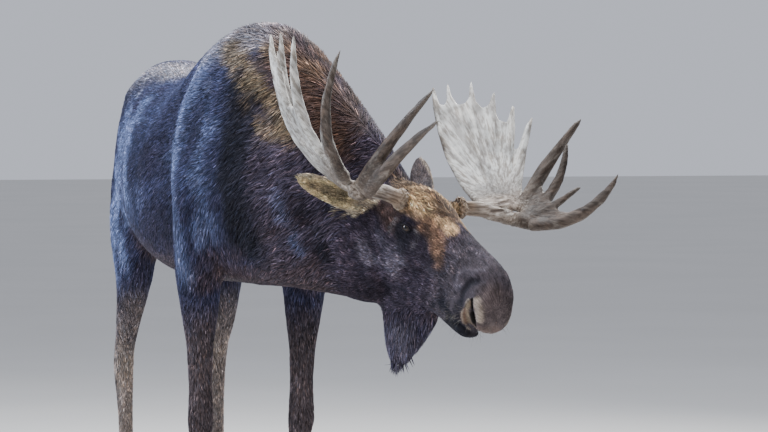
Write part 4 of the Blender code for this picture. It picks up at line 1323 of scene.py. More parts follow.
def across_spine(places: Array) -> Array:
    """Say how far places lie to the left of the spine, which bends along the neck."""
    spine = np.interp(-places[:, 1], (0.48, 0.62, 0.74, 0.86, 0.98, 1.17, 1.3),
        (0.004, 0.01, 0.026, 0.068, 0.128, 0.278, 0.352))
    return places[:, 0] - spine


def folded(places: Array) -> Array:
    """Fold the animal's left side onto its right, about a spine that bends with the neck."""
    return np.column_stack([-np.abs(across_spine(places)), places[:, 1:]])


def paint_skin(skin: Skin) -> tuple[Array, Array]:
    """Colour the skin's points: light and dark patches on a black coat, some of them painted sky sheen,
    painted highlights on ridges and painted shade in folds and nostrils.

    Args:
        skin: The shaped skin.

    Returns:
        A colour for each point, and how bare of hair it is, from 0 to 1.
    """
    stance, head = STANCE.to_stance(skin.points), HEAD.to_head(skin.unfolded)
    ahead, high, facing = stance[:, 1], stance[:, 2], skin.normals[:, 2]
    wisp = 0.6 * lattice_noise(skin.points, 0.034, SEED + 4) + 0.6 * lattice_noise(skin.points, 0.08,
        SEED + 3)
    on_face = skin.weight_of(*ON_FACE)
    on_trunk = skin.weight_of(Zone.TRUNK, Zone.MANE, Zone.NECK)
    legs = skin.weight_of(Zone.UPPER_LEG, Zone.LOWER_LEG)
    hind = eased(ahead, 0.1, 0.3)
    paint = Paint.of(len(head), Tint.SOOT)
    # Painted sky sheen: the blue-black is laid more thickly on surfaces that face up, as painted top light
    sky = (0.35 + 0.55 * eased(facing, -0.5, 0.6)) * np.clip(0.75 + 0.55 * wisp, 0, 1)
    for tint, share in ((Tint.BLUE, on_trunk * sky), (Tint.BROWN, on_trunk * eased(facing, -0.2, -0.8) * 0.8),
            (Tint.BROWN, on_trunk * eased(ahead, -0.85, -1.05) * 0.55),
            (Tint.UMBER, skin.weight_of(Zone.MANE) * eased(ahead, -0.35, -0.7) * 0.65),
            (Tint.BLUE, legs * eased(high, 0.85, 1.05) * 0.8), (Tint.LEG_BROWN,
            legs * (1 - hind) * eased(high, 1.05, 0.75) * 0.8), (Tint.LEG_GREY,
            legs * hind * eased(high, 1.02, 0.66) * (0.66 + 0.3 * wisp)),
            (Tint.LEG_GREY, legs * (1 - hind) * eased(high, 0.5, 0.25) * 0.45),
            (Tint.BLACK, legs * eased(high, 0.17, 0.1) * 0.8)):
        paint.lay(tint, share)
    right = folded(stance)
    for patch in BODY_PATCHES:
        patch.lay(paint, right, folded(metres(patch.places)), wisp, on_trunk)
    paint.lay(Tint.BROWN, on_face * 0.4)
    paint.lay(Tint.SLATE, on_face * eased(head[:, 0], 0.26, 0.4))
    right = np.column_stack([head[:, 0], -np.abs(head[:, 1]), head[:, 2]])
    for patch in HEAD_PATCHES:
        patch.lay(paint, right, metres(patch.places), wisp, on_face)
    paint.lay(Tint.BROWN, skin.weight_of(Zone.TAIL) * 0.45)
    paint.lay(Tint.ASH, skin.weight_of(Zone.BELL) * (0.32 + 0.4 * wisp))
    tips = paint_ears(paint, skin, wisp)
    nostril = np.zeros(len(head))
    for reach, places in NOSTRIL:
        gap, _ = distance_to_run(right * np.array([1.0, -1.0, 1.0]), metres(places))
        nostril = np.maximum(nostril, eased(gap, reach * 1.25, reach * 0.7))
    # Painted shade: the nostrils' hollows are painted near black
    paint.lay(Tint.INSIDE, nostril * on_face)
    pad = blob(head, (0.605, 0.0, -0.12), (0.05, 0.045, 0.045)) * skin.weight_of(Zone.MUZZLE) * 1.6
    return paint.colours, np.clip(pad + nostril * on_face + tips, 0.0, 1.0)


def paint_ears(paint: Paint, skin: Skin, wisp: Array) -> Array:
    """Give each ear an olive hollow, dark streaks, a cream rim and a pale tuft at its root.

    Args:
        paint: The skin's colours.
        skin: The shaped skin.
        wisp: Noise that breaks the marks up.

    Returns:
        How bare each point is for lying at an ear's tip, from 0 to 1.
    """
    tips = np.zeros(len(wisp))
    for side, name in ((-1, "ear_right"), (1, "ear_left")):
        chosen = skin.part == FLESH.index(name)
        along, across, hollow = read_ear(name, side, skin)
        where = chosen * skin.weight_of(Zone.EAR)
        streak = eased(np.abs(across + 0.08), 0.6, 0.25) * eased(along, 0.94, 0.74)
        dark = eased(streak, 0.5, 1.0) * eased(along, 0.25, 0.4) * 0.25
        for tint, share in ((Tint.BROWN, 1.0), (Tint.DUSTY, (1 - hollow) * (0.5 + 0.4 * wisp)),
                (Tint.OLIVE, hollow), (Tint.BROWN, hollow * streak * (0.6 + 0.6 * wisp)),
                (Tint.BLACK, hollow * dark), (Tint.CREAM, eased(np.abs(across), 0.72, 0.9)
                * (0.7 + 0.3 * wisp)), (Tint.CREAM, hollow * eased(along, 0.3, 0.12) * (0.45 + 0.5 * wisp))):
            paint.lay(tint, where * share)
        tips = tips + chosen * eased(along, 0.955, 0.975)
    return tips


def read_ear(name: str, side: int, skin: Skin) -> tuple[Array, Array, Array]:
    """Measure the skin's points on one ear.

    Args:
        name: Name of its CAD node.
        side: -1 for the animal's right, 1 for its left.
        skin: The shaped skin.

    Returns:
        Shares along it from root to tip, shares across it from -1 to 1, and how much each point lies in
        its hollow.
    """
    found = coordinates(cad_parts[name].data)
    middle = found.mean(axis=0)
    main, wide, thin = np.linalg.svd(found - middle, full_matrices=False)[2]
    main = main if (middle - HEAD.to_world([0.0, 0.0, 0.0])) @ main > 0 else -main
    thin = thin if thin @ HEAD.direction(0.55, side * 0.8, 0.1) > 0 else -thin
    reach, sweep = (found - middle) @ main, (found - middle) @ wide
    along = ((skin.points - middle) @ main - reach.min()) / (reach.max() - reach.min())
    belly = np.clip(np.sin(np.pi * np.clip(0.12 + 0.86 * along, 0.03, 0.97)), 0.25, 1.0)
    across = ((skin.points - middle) @ wide) / (max(abs(sweep.min()), sweep.max()) * belly)
    return along, across, eased(skin.normals @ thin, -0.05, 0.25)


# Coat ---------------------------------------------------------------------------------------
# How light each point of a lock is, and its place across and along the lock
LOCK_POINTS: dict[str, tuple[float, float, float]] = {
    "root": (0.66, 0.0, 0.0), "root_left": (0.6, -0.5, 0.0), "root_right": (0.6, 0.5, 0.0),
    "root_top": (0.66, 0.0, 0.0), "left": (0.92, -0.5, 0.46), "right": (0.92, 0.5, 0.46),
    "top": (1.02, 0.0, 0.46), "tip": (1.06, 0.0, 1.0)}


class Lock(Enum):
    """Kinds of lock: the longest one made so, the names of its points, and the triangles between them."""

    SPIKE = (0.01, ("root_left", "root_right", "root_top", "tip"),
        ((0, 1, 2), (0, 3, 1), (1, 3, 2), (2, 3, 0)))
    BLADE = (0.05, ("root", "left", "right", "top", "tip"), ((0, 3, 1), (0, 2, 3), (0, 1, 2), (4, 1, 3),
        (4, 3, 2), (4, 2, 1)))
    PLUME = (9.0, ("root_left", "root_right", "root_top", "left", "right", "top", "tip"),
        ((0, 1, 2), (0, 3, 4), (0, 4, 1), (1, 4, 5), (1, 5, 2), (2, 5, 3), (2, 3, 0), (3, 6, 4), (4, 6, 5),
        (5, 6, 3)))


@dataclass(frozen=True)
class CoatArea:
    """One piece of the coat.

    Attributes:
        name: Name of the piece.
        parts: CAD nodes whose skin it covers.
        side: -1 or 1 where it covers only the animal's right or left, otherwise 0.
        fore: 1 or -1 where it covers only what is ahead of or behind the split, otherwise 0.
    """

    name: str
    parts: tuple[str, ...]
    side: int = 0
    fore: int = 0


COAT_SPLIT = -0.03      # y of the stance at which the trunk's coat is divided
SIDES: tuple[tuple[str, int], ...] = (("right", -1), ("left", 1))
AREAS: tuple[CoatArea, ...] = (
    *(CoatArea(f"coat_trunk_{side}_{end}", ("trunk",), sign, fore) for side, sign in SIDES
      for end, fore in (("fore", 1), ("hind", -1))),
    *(CoatArea(f"coat_{part}_{side}", (part,), sign) for part in ("neck", "head") for side, sign in SIDES),
    CoatArea("coat_ears_bell_tail", ("ear_right", "ear_left", "bell", "tail")),
    *(CoatArea(f"coat_{end}_{side}_leg", (f"{end}_{side}_upper_leg", f"{end}_{side}_lower_leg"))
      for end in ("front", "hind") for side in ("right", "left")),
)


@dataclass
class Coat:
    """The hair, sown over the skin in locks that follow its lie.

    Attributes:
        skin: The skin that it grows on.
        finish: The hair's material.
        root_depth: How far a root is set into the skin.
        patch: Side of a lock's patch on the unwrap.
        softness: How far a lock is shaded like the skin under it.
        bent_from: Length from which a lock's tip follows the skin's curve.
        thickness: Its thickness, as a share of its width.
        strong_at: Length of a lock at which streaks have their full size.
    """

    skin: Skin
    finish: Material
    root_depth: float = 0.0012
    patch: float = 0.003
    softness: float = 0.55
    bent_from: float = 0.009
    thickness: float = 0.36
    strong_at: float = 0.036
    surface: BVHTree = field(init=False)

    def __post_init__(self) -> None:
        """Prepare to find the nearest skin."""
        self.surface = BVHTree.FromPolygons(self.skin.points.tolist(), self.skin.faces.tolist())

    def grow(self, area: CoatArea) -> Object:
        """Make one piece of the coat.

        Args:
            area: What it covers.

        Returns:
            The finished object.
        """
        chance = np.random.default_rng(SEED + sum(ord(letter) for letter in area.name))
        roots, shares = self._sow(self._triangles_of(area), chance)
        values = self._values_at(roots, shares)
        spots = self._spots(values, chance)
        shade = self._shades(values, chance)
        parts, colours, strands, places, facings = [], [], [], [], []
        least = 0.0
        for kind in Lock:
            longest, names, pattern = kind.value
            chosen = np.flatnonzero((values["length"] >= least) & (values["length"] < longest))
            least = longest
            count, size = len(chosen), len(names)
            points = np.stack([spots[name][chosen] for name in names], axis=1).reshape(-1, 3)
            faces = (np.array(pattern)[None] + np.arange(count)[:, None, None] * size).reshape(-1, 3)
            parts.append((points, faces))
            tone, across, along = np.array([LOCK_POINTS[name] for name in names]).T
            tone = np.tile(tone, (count, 1))
            tone[:, -1] += values["frost"][chosen]
            colours.append((shade[chosen][:, None, :] * tone[:, :, None]).reshape(-1, 3))
            across, along, number = np.tile(across, count), np.tile(along, count), np.repeat(chosen, size)
            strands.append(np.column_stack([across * values["width"][number],
                along * values["length"][number], number * 7.31]))
            places.append(np.column_stack([number, across, along - 0.5]))
            facing = np.stack([values["tip_normal" if name == "tip" else "normal"][chosen] for name in names],
                axis=1).reshape(-1, 3)
            facings.append(unit(normals_of(points, faces) * (1 - self.softness) + facing * self.softness))
        points, faces = joined(parts)
        mesh = triangle_mesh(area.name, points, faces, True)
        add_colours(mesh, "coat", np.vstack(colours))
        add_numbers(mesh, "strand", np.vstack(strands))
        self._unwrap(mesh, faces, np.vstack(places), values, area)
        mesh.normals_split_custom_set_from_vertices(np.vstack(facings))
        mesh.materials.append(self.finish)
        item = linked(area.name, mesh)
        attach(item, BODY)
        return item

    def _triangles_of(self, area: CoatArea) -> Array:
        """Find the skin's triangles that an area covers."""
        skin = self.skin
        chosen = np.isin(skin.part[skin.faces[:, 0]], [FLESH.index(part) for part in area.parts])
        middle = skin.points[skin.faces].mean(axis=1)
        stance = STANCE.to_stance(middle)
        if area.side:
            across = HEAD.to_head(middle)[:, 1] if area.parts[0] == "head" else across_spine(stance)
            chosen &= across * area.side > 0
        if area.fore:
            chosen &= (stance[:, 1] < COAT_SPLIT) == (area.fore > 0)
        return np.flatnonzero(chosen)

    def _sow(self, chosen: Array, chance: np.random.Generator) -> tuple[Array, Array]:
        """Place roots evenly over some triangles.

        Args:
            chosen: The faces that get hair.
            chance: Source of the random numbers.

        Returns:
            Each root's triangle, and its shares of the triangle's three corners.
        """
        skin = self.skin
        corners = skin.faces[chosen]
        first, second, third = (skin.points[corners[:, index]] for index in range(3))
        size = np.linalg.norm(np.cross(second - first, third - first), axis=1) / 2
        hairy = 1.0 - skin.bare
        density = (skin.value_of("per_square") * hairy * hairy)[corners].mean(axis=1)
        total = np.cumsum(size * density)
        count = int(total[-1])
        marks = (np.arange(count) + chance.random(count)) * total[-1] / count
        found = np.minimum(np.searchsorted(total, marks), len(chosen) - 1)
        root, split = np.sqrt(chance.random(count)), chance.random(count)
        return chosen[found], np.column_stack([1 - root, root * (1 - split), root * split])

    def _values_at(self, roots: Array, shares: Array) -> dict[str, Array]:
        """Read what the skin says at each root."""
        skin = self.skin
        corners = skin.faces[roots]

        def blend(values: Array) -> Array:
            """Blend the three corners' values."""
            extra = values[corners]
            weight = shares[:, :, None] if extra.ndim == 3 else shares
            return (extra * weight).sum(axis=1)

        values = {name: blend(skin.value_of(name)) for name in ("length", "width", "lift", "stray", "frost")}
        values["depth"] = blend(skin.depth)
        values["place"] = blend(skin.points)
        values["normal"] = unit(blend(skin.normals))
        lie = blend(skin.lie)
        lie -= values["normal"] * (lie * values["normal"]).sum(axis=1, keepdims=True)
        values["lie"] = unit(lie)
        values["colour"] = blend(skin.colours)
        values["part"] = skin.part[corners[:, 0]]
        return values

    def _spots(self, values: dict[str, Array], chance: np.random.Generator) -> dict[str, Array]:
        """Place the points of every lock, and settle its own length and width.

        Args:
            values: What the skin says at each root.
            chance: Source of the random numbers.

        Returns:
            One place for each lock under every name that a kind of lock uses.
        """
        place, normal = values["place"], values["normal"]
        count = len(place)
        swing = lattice_noise(place, 0.028, SEED + 8) * 0.9 + chance.normal(0.0, 0.5, count)
        turn = values["stray"] * swing
        side = np.cross(normal, values["lie"])
        run = values["lie"] * np.cos(turn)[:, None] + side * np.sin(turn)[:, None]
        side = np.cross(normal, run)
        values["length"] = length = values["length"] * chance.uniform(0.7, 1.2, count)
        values["width"] = width = values["width"] * chance.uniform(0.7, 1.25, count)
        thick = (width * self.thickness)[:, None]
        clump = 0.5 + 0.5 * lattice_noise(place, 0.022, SEED + 9)
        height = values["depth"] * values["lift"] * (0.22 + 0.42 * clump + 0.4 * chance.random(count))
        tip, tip_normal = self._tips(place + run * length[:, None], place, normal, length)
        values["tip_normal"] = tip_normal
        middle = place * 0.54 + tip * 0.46 + normal * (height * 0.66 + 0.0004)[:, None]
        half = side * (width * 0.5)[:, None]
        bottom = place - normal * self.root_depth
        return {"root": bottom, "root_left": bottom + half * 0.8, "root_right": bottom - half * 0.8,
            "root_top": place + normal * thick, "left": middle + half, "right": middle - half,
            "top": middle + normal * thick, "tip": tip + tip_normal * (height + 0.0003)[:, None]}

    def _tips(self, wanted: Array, place: Array, normal: Array, length: Array) -> tuple[Array, Array]:
        """Lay the tips of longer locks on the skin, so that they follow its curve."""
        tip, facing = wanted.copy(), normal.copy()
        for index in np.flatnonzero(length > self.bent_from):
            found, found_normal, _, distance = self.surface.find_nearest(wanted[index])
            if found is not None and distance < length[index] * 0.6:
                tip[index] = found
                facing[index] = found_normal
        return tip, unit(facing + normal)

    def _shades(self, values: dict[str, Array], chance: np.random.Generator) -> Array:
        """Give each lock its colour: the skin's, lighter or darker by streak, by tuft and by chance."""
        place = values["place"]
        ways = (np.cross(values["normal"], values["lie"]), values["normal"], values["lie"])
        local = np.column_stack([(place * way).sum(axis=1) for way in ways])
        size = np.clip(values["length"] / self.strong_at, 0.55, 1.4)
        streak = lattice_noise(local / size[:, None], (0.011, 0.03, 0.06), SEED + 12)
        tuft = lattice_noise(place / size[:, None], 0.028, SEED + 13)
        cloud = lattice_noise(place, 0.09, SEED + 14)
        strength = 0.95 + 1.8 * np.clip(values["stray"] - 0.2, 0.0, 0.6)
        amount = np.exp(strength * (0.95 * streak + 0.75 * tuft + 0.32 * cloud) - 0.16 * strength ** 2
            + chance.normal(0.05, 0.36, len(place)))
        warm = chance.normal(0.0, 0.06, len(place)) + 0.07 * tuft
        tint = np.column_stack([1 + warm, np.ones(len(place)), 1 - warm])
        return values["colour"] * amount[:, None] * tint

    def _unwrap(self, mesh: Mesh, faces: Array, places: Array, values: dict[str, Array],
            area: CoatArea) -> None:
        """Give each lock a small patch at its root's place on the unwrapped skin.

        Args:
            mesh: The piece's mesh.
            faces: Its faces.
            places: For each point, its lock's number and its place on the patch, from -0.5 to 0.5.
            values: What the skin says at each root.
            area: What the piece covers.
        """
        flat = np.zeros((len(values["place"]), 2))
        cells = len(area.parts)
        for number, part in enumerate(area.parts):
            chosen = values["part"] == FLESH.index(part)
            if not chosen.any():
                continue
            around, along = self._roll_out(values["place"][chosen], values["normal"][chosen], part)
            for column, line in enumerate((around, along)):
                low, high = line.min(), line.max()
                flat[chosen, column] = (line - low) / max(high - low, 1e-6)
            flat[chosen, 0] = (number + 0.01 + 0.98 * flat[chosen, 0]) / cells
        flat = 0.004 + 0.992 * flat
        spots = flat[places[:, 0].astype(int)] + places[:, 1:] * self.patch
        layer = mesh.uv_layers.new(name="OFBake")
        layer.data.foreach_set("uv", spots[faces.ravel()].astype(np.float32).ravel())

    @staticmethod
    def _roll_out(place: Array, normal: Array, part: str) -> tuple[Array, Array]:
        """Unroll the skin of one part round its own run.

        Args:
            place: Places on the skin.
            normal: Directions of the skin there.
            part: Name of the CAD node.

        Returns:
            Each place's way round the part, and its way along it.
        """
        if part == "head":
            local = HEAD.to_head(place)
            around = np.arctan2(local[:, 1], local[:, 2] + 0.03)
            return around, local[:, 0] - 0.7 * np.hypot(local[:, 1], local[:, 2] + 0.03)
        if part in ("neck", "trunk"):
            local = STANCE.to_stance(place)
            middle = np.interp(-local[:, 1], (-0.9, 0.0, 0.7, 1.3), (1.38, 1.32, 1.38, 1.15))
            around = np.arctan2(across_spine(local), local[:, 2] - middle)
            return around, local[:, 1] - (0.5 if part == "neck" else 0.0) * local[:, 0]
        if part.startswith("ear"):
            spread_of = place - place.mean(axis=0)
            main = np.linalg.svd(spread_of, full_matrices=False)[2]
            turn = np.arctan2((normal * main[2]).sum(axis=1), (normal * main[1]).sum(axis=1))
            return turn, spread_of @ main[0]
        heights = np.linspace(place[:, 2].min(), place[:, 2].max(), 9)
        near = [place[np.abs(place[:, 2] - height) <= heights[1] - heights[0] + 1e-6, 1]
            for height in heights]
        middles = [(line.min() + line.max()) / 2 if len(line) else 0.0 for line in near]
        centre = np.interp(place[:, 2], heights, middles)
        return np.arctan2(place[:, 0] - np.median(place[:, 0]), place[:, 1] - centre), place[:, 2]


# Eyes ---------------------------------------------------------------------------------------
@dataclass
class Eye:
    """One eyeball with the lids round it.

    Attributes:
        side: -1 for the animal's right, 1 for its left.
        gaze: Forward, outward and up shares of the direction that it looks in.
        opening: Half the lids' opening, in radians: forward, upward and downward.
        lid_rows: Size and reach of each ring of the lids, from the eyeball outwards.
        around: Points round a ring of the lids.
    """

    side: int
    gaze: Place = (0.3, 1.0, 0.02)
    opening: Place = (0.76, 0.4, 0.36)
    lid_rows: tuple[tuple[float, float], ...] = ((0.9, 0.965), (0.96, 1.005), (1.0, 1.055), (1.1, 1.105),
        (1.3, 1.13), (1.6, 1.11), (2.0, 1.04), (2.45, 0.9))
    around: int = 72

    def name(self) -> str:
        """Give the CAD node's name."""
        return "eye_left" if self.side > 0 else "eye_right"

    def frame_of(self) -> tuple[Array, float, Array, Array, Array]:
        """Give the eye's middle, its radius, and the directions of its gaze, its front corner and up."""
        low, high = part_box(self.name())
        radius = (high.z - low.z) / 2
        gaze = HEAD.direction(self.gaze[0], self.side * self.gaze[1], self.gaze[2])
        tilt = HEAD.direction(1.0, 0.0, -0.12)
        ahead = unit(tilt - gaze * float(tilt @ gaze))
        up = np.cross(ahead, gaze)
        up = up if up @ HEAD.axes()[:, 2] > 0 else -up
        return middle_of(self.name()), radius, gaze, ahead, up

    def build(self, finish: EyeFinish) -> Object:
        """Make the eyeball, its pole in the gaze."""
        centre, radius, gaze, ahead, up = self.frame_of()
        turns = turns_of(48)
        rings, spots = [], []
        for fall in np.concatenate([np.linspace(0.05, 1.3, 26), np.linspace(1.45, 3.05, 10)]):
            swell = 1.0 + 0.045 * math.exp(-(fall / 0.5) ** 2)
            ring = gaze * math.cos(fall) + math.sin(fall) * circle(turns, ahead, up)
            rings.append(centre + ring * radius * swell)
            spots.append(np.column_stack([math.sin(fall) * np.cos(turns), math.sin(fall) * np.sin(turns),
                np.full(len(turns), fall)]))
        points, faces = ring_mesh(rings, (True, True))
        spots = np.vstack([*spots, [[0.0, 0.0, 0.0]], [[0.0, 0.0, np.pi]]])
        mesh = triangle_mesh(self.name() + "_ball", points, facing_out(points, faces), True)
        self._colour(mesh, spots)
        mesh.materials.append(finish.material())
        item = linked(self.name() + "_ball", mesh)
        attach(item, BODY)
        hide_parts(self.name())
        return item

    def _colour(self, mesh: Mesh, spots: Array) -> None:
        """Paint a long level pupil, the iris and its dark edge."""
        paint = Paint.of(len(spots), Tint.EYE_WHITE)
        paint.lay(Tint.IRIS_EDGE, eased(spots[:, 2], 0.92, 0.74))
        paint.lay(Tint.IRIS, eased(spots[:, 2], 0.7, 0.62))
        paint.lay(Tint.PUPIL, eased(np.hypot(spots[:, 0] / 0.34, spots[:, 1] / 0.2), 1.12, 0.9))
        add_colours(mesh, "eye", paint.colours)
        turn = np.arctan2(spots[:, 1], spots[:, 0])
        add_numbers(mesh, "fibre", np.column_stack([np.cos(turn) * 9, np.sin(turn) * 9, spots[:, 2] * 2]))

    def lid_edge(self, turns: Array, scale: float, reach: float) -> Array:
        """Give places round the opening.

        Args:
            turns: Angles round the opening, from its front corner over the upper lid.
            scale: Size against the opening itself.
            reach: Distance from the eye's middle, as a share of its radius.

        Returns:
            One place for each angle.
        """
        centre, radius, gaze, ahead, up = self.frame_of()
        level = np.cos(turns) * self.opening[0] * scale
        tall = np.where(np.sin(turns) > 0, self.opening[1], self.opening[2])
        corner = 1.0 - 0.3 * np.abs(np.cos(turns)) ** 6
        rise = np.sin(turns) * tall * (scale if scale <= 1 else 1 + (scale - 1) * 1.45) * corner
        way = (np.cos(level) * np.cos(rise))[:, None] * gaze + (np.sin(level) * np.cos(rise))[:, None] * ahead
        way = way + np.sin(rise)[:, None] * up
        return centre + unit(way) * radius * reach

    def lids(self) -> tuple[Array, Array, Array]:
        """Make the lids.

        Returns:
            Their points, their faces, and for each point how wet it is, from 0 to 1.
        """
        turns = turns_of(self.around)
        centre, _, gaze, _, _ = self.frame_of()
        rings, wet = [], []
        for index, (scale, reach) in enumerate(self.lid_rows):
            crease = 0.02 * np.clip(np.sin(turns), 0, 1) * math.sin(index * 2.2) if index > 2 else 0.0
            ring = self.lid_edge(turns, scale, 1.0)
            rings.append(centre + (ring - centre) * np.reshape(reach + crease, (-1, 1)))
            wet.append(np.full(self.around, 1.0 if index < 3 else 0.35 if index == 3 else 0.0))
        points, faces = ring_mesh(rings, (False, False))
        outward = normals_of(points, faces)[self.around * 4:self.around * 5]
        faces = faces if (outward @ gaze).mean() > 0 else faces[:, ::-1]
        return points, faces, np.concatenate(wet)


# Bristles -----------------------------------------------------------------------------------
@dataclass
class Bristles:
    """Many like things set on points by Geometry Nodes: whiskers, lashes and burr pearls.

    Attributes:
        name: Name of the piece.
        round_shape: Whether each thing is a pearl and not a bristle.
        thickness: Radius of each thing.
        bend: How far a bristle's tip bows over, as a share of its length.
    """

    name: str
    round_shape: bool
    thickness: float
    bend: float = 0.0

    def build(self, places: Array, ways: Array, lengths: Array, bows: Array, material: Material,
            slot: str) -> Object:
        """Set one thing on each place.

        Args:
            places: Where each one starts.
            ways: Where each one points.
            lengths: Their lengths, or the pearls' sizes.
            bows: Which way each one bends.
            material: Their material.
            slot: Not used.

        Returns:
            The finished object.
        """
        mesh = bpy.data.meshes.new(self.name + "_points")
        mesh.vertices.add(len(places))
        place_points(mesh, places)
        add_numbers(mesh, "way", unit(ways))
        add_numbers(mesh, "size", lengths)
        add_numbers(mesh, "bow", unit(bows) * (lengths * self.bend)[:, None])
        item = linked(self.name, mesh)
        modifier = item.modifiers.new("plant", "NODES")
        modifier.node_group = self._tree(material)
        for socket in modifier.node_group.interface.items_tree:
            if socket.name == "Thickness":
                modifier[socket.identifier] = self.thickness
        applied(item)
        item.data.name = self.name
        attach(item, BODY)
        return item

    def _tree(self, material: Material) -> NodeTree:
        """Build the node tree: a thing on every point, turned, sized, bent and made real."""
        tree = bpy.data.node_groups.new(self.name + "_plant", "GeometryNodeTree")
        for name, way, kind in (("Geometry", "INPUT", "Geometry"), ("Thickness", "INPUT", "Float"),
                ("Geometry", "OUTPUT", "Geometry")):
            tree.interface.new_socket(name, in_out=way, socket_type="NodeSocket" + kind)

        def add(kind: str, values: dict[object, object], **settings: object) -> NodeSocket:
            """Add one node and give its first output."""
            return add_node(tree, kind, values, settings).outputs[0]

        def kept(name: str, kind: str) -> NodeSocket:
            """Read what the points keep under a name."""
            return add("GeometryNodeInputNamedAttribute", {"Name": name}, data_type=kind)

        points, thickness = add_node(tree, "NodeGroupInput", {}, {}).outputs[:2]
        size = kept("size", "FLOAT")
        turned = add("FunctionNodeAlignRotationToVector", {"Vector": kept("way", "FLOAT_VECTOR")}, axis="Z")
        if self.round_shape:
            shape = add("GeometryNodeMeshIcoSphere", {"Radius": 1.0, "Subdivisions": 2})
            thickness = size
        else:
            shape = add("GeometryNodeMeshCone", {"Vertices": 4, "Side Segments": 4, "Radius Top": 0.05,
                "Radius Bottom": 1.0, "Depth": 1.0}, fill_type="TRIANGLE_FAN")
        scale = add("ShaderNodeCombineXYZ", {0: thickness, 1: thickness, 2: size})
        place = add_node(tree, "ShaderNodeSeparateXYZ", {0: add("GeometryNodeInputPosition", {})}, {})
        keep = add("GeometryNodeStoreNamedAttribute", {"Geometry": shape, "Name": "along",
            "Value": place.outputs[2]}, data_type="FLOAT", domain="POINT")
        planted = add("GeometryNodeInstanceOnPoints", {"Points": points, "Instance": keep, "Rotation": turned,
            "Scale": scale})
        along = kept("along", "FLOAT")
        square = add("ShaderNodeMath", {0: along, 1: along}, operation="MULTIPLY")
        shift = add("ShaderNodeVectorMath", {0: kept("bow", "FLOAT_VECTOR"), 3: square}, operation="SCALE")
        bent = add("GeometryNodeSetPosition", {"Geometry": add("GeometryNodeRealizeInstances", {0: planted}),
            "Offset": shift})
        dressed = add("GeometryNodeSetMaterial", {"Geometry": bent, "Material": material})
        add_node(tree, "NodeGroupOutput", {0: dressed}, {})
        return tree


# Antlers ------------------------------------------------------------------------------------
# Outward places in millimetres along what stays brown, for each side
BROWN_RUNS: dict[int, tuple[tuple[Place, ...], ...]] = {
    -1: (
        ((0, 501, 505), (8, 493, 414), (17, 474, 334), (40, 425, 250), (61, 377, 177), (96, 337, 136)),
        ((319, 360, 553), (250, 350, 417), (196, 331, 301), (155, 315, 190), (115, 300, 112)),
        ((457, 420, 501), (345, 375, 390), (240, 340, 285), (165, 310, 160))),
    1: (
        ((95, 500, 459), (105, 452, 342), (131, 417, 241)),
        ((133, 440, 383), (186, 424, 287), (190, 380, 190)),
        ((293, 420, 301), (240, 370, 210)),
        ((422, 420, 417), (402, 382, 270), (329, 348, 194), (221, 331, 137))),
}


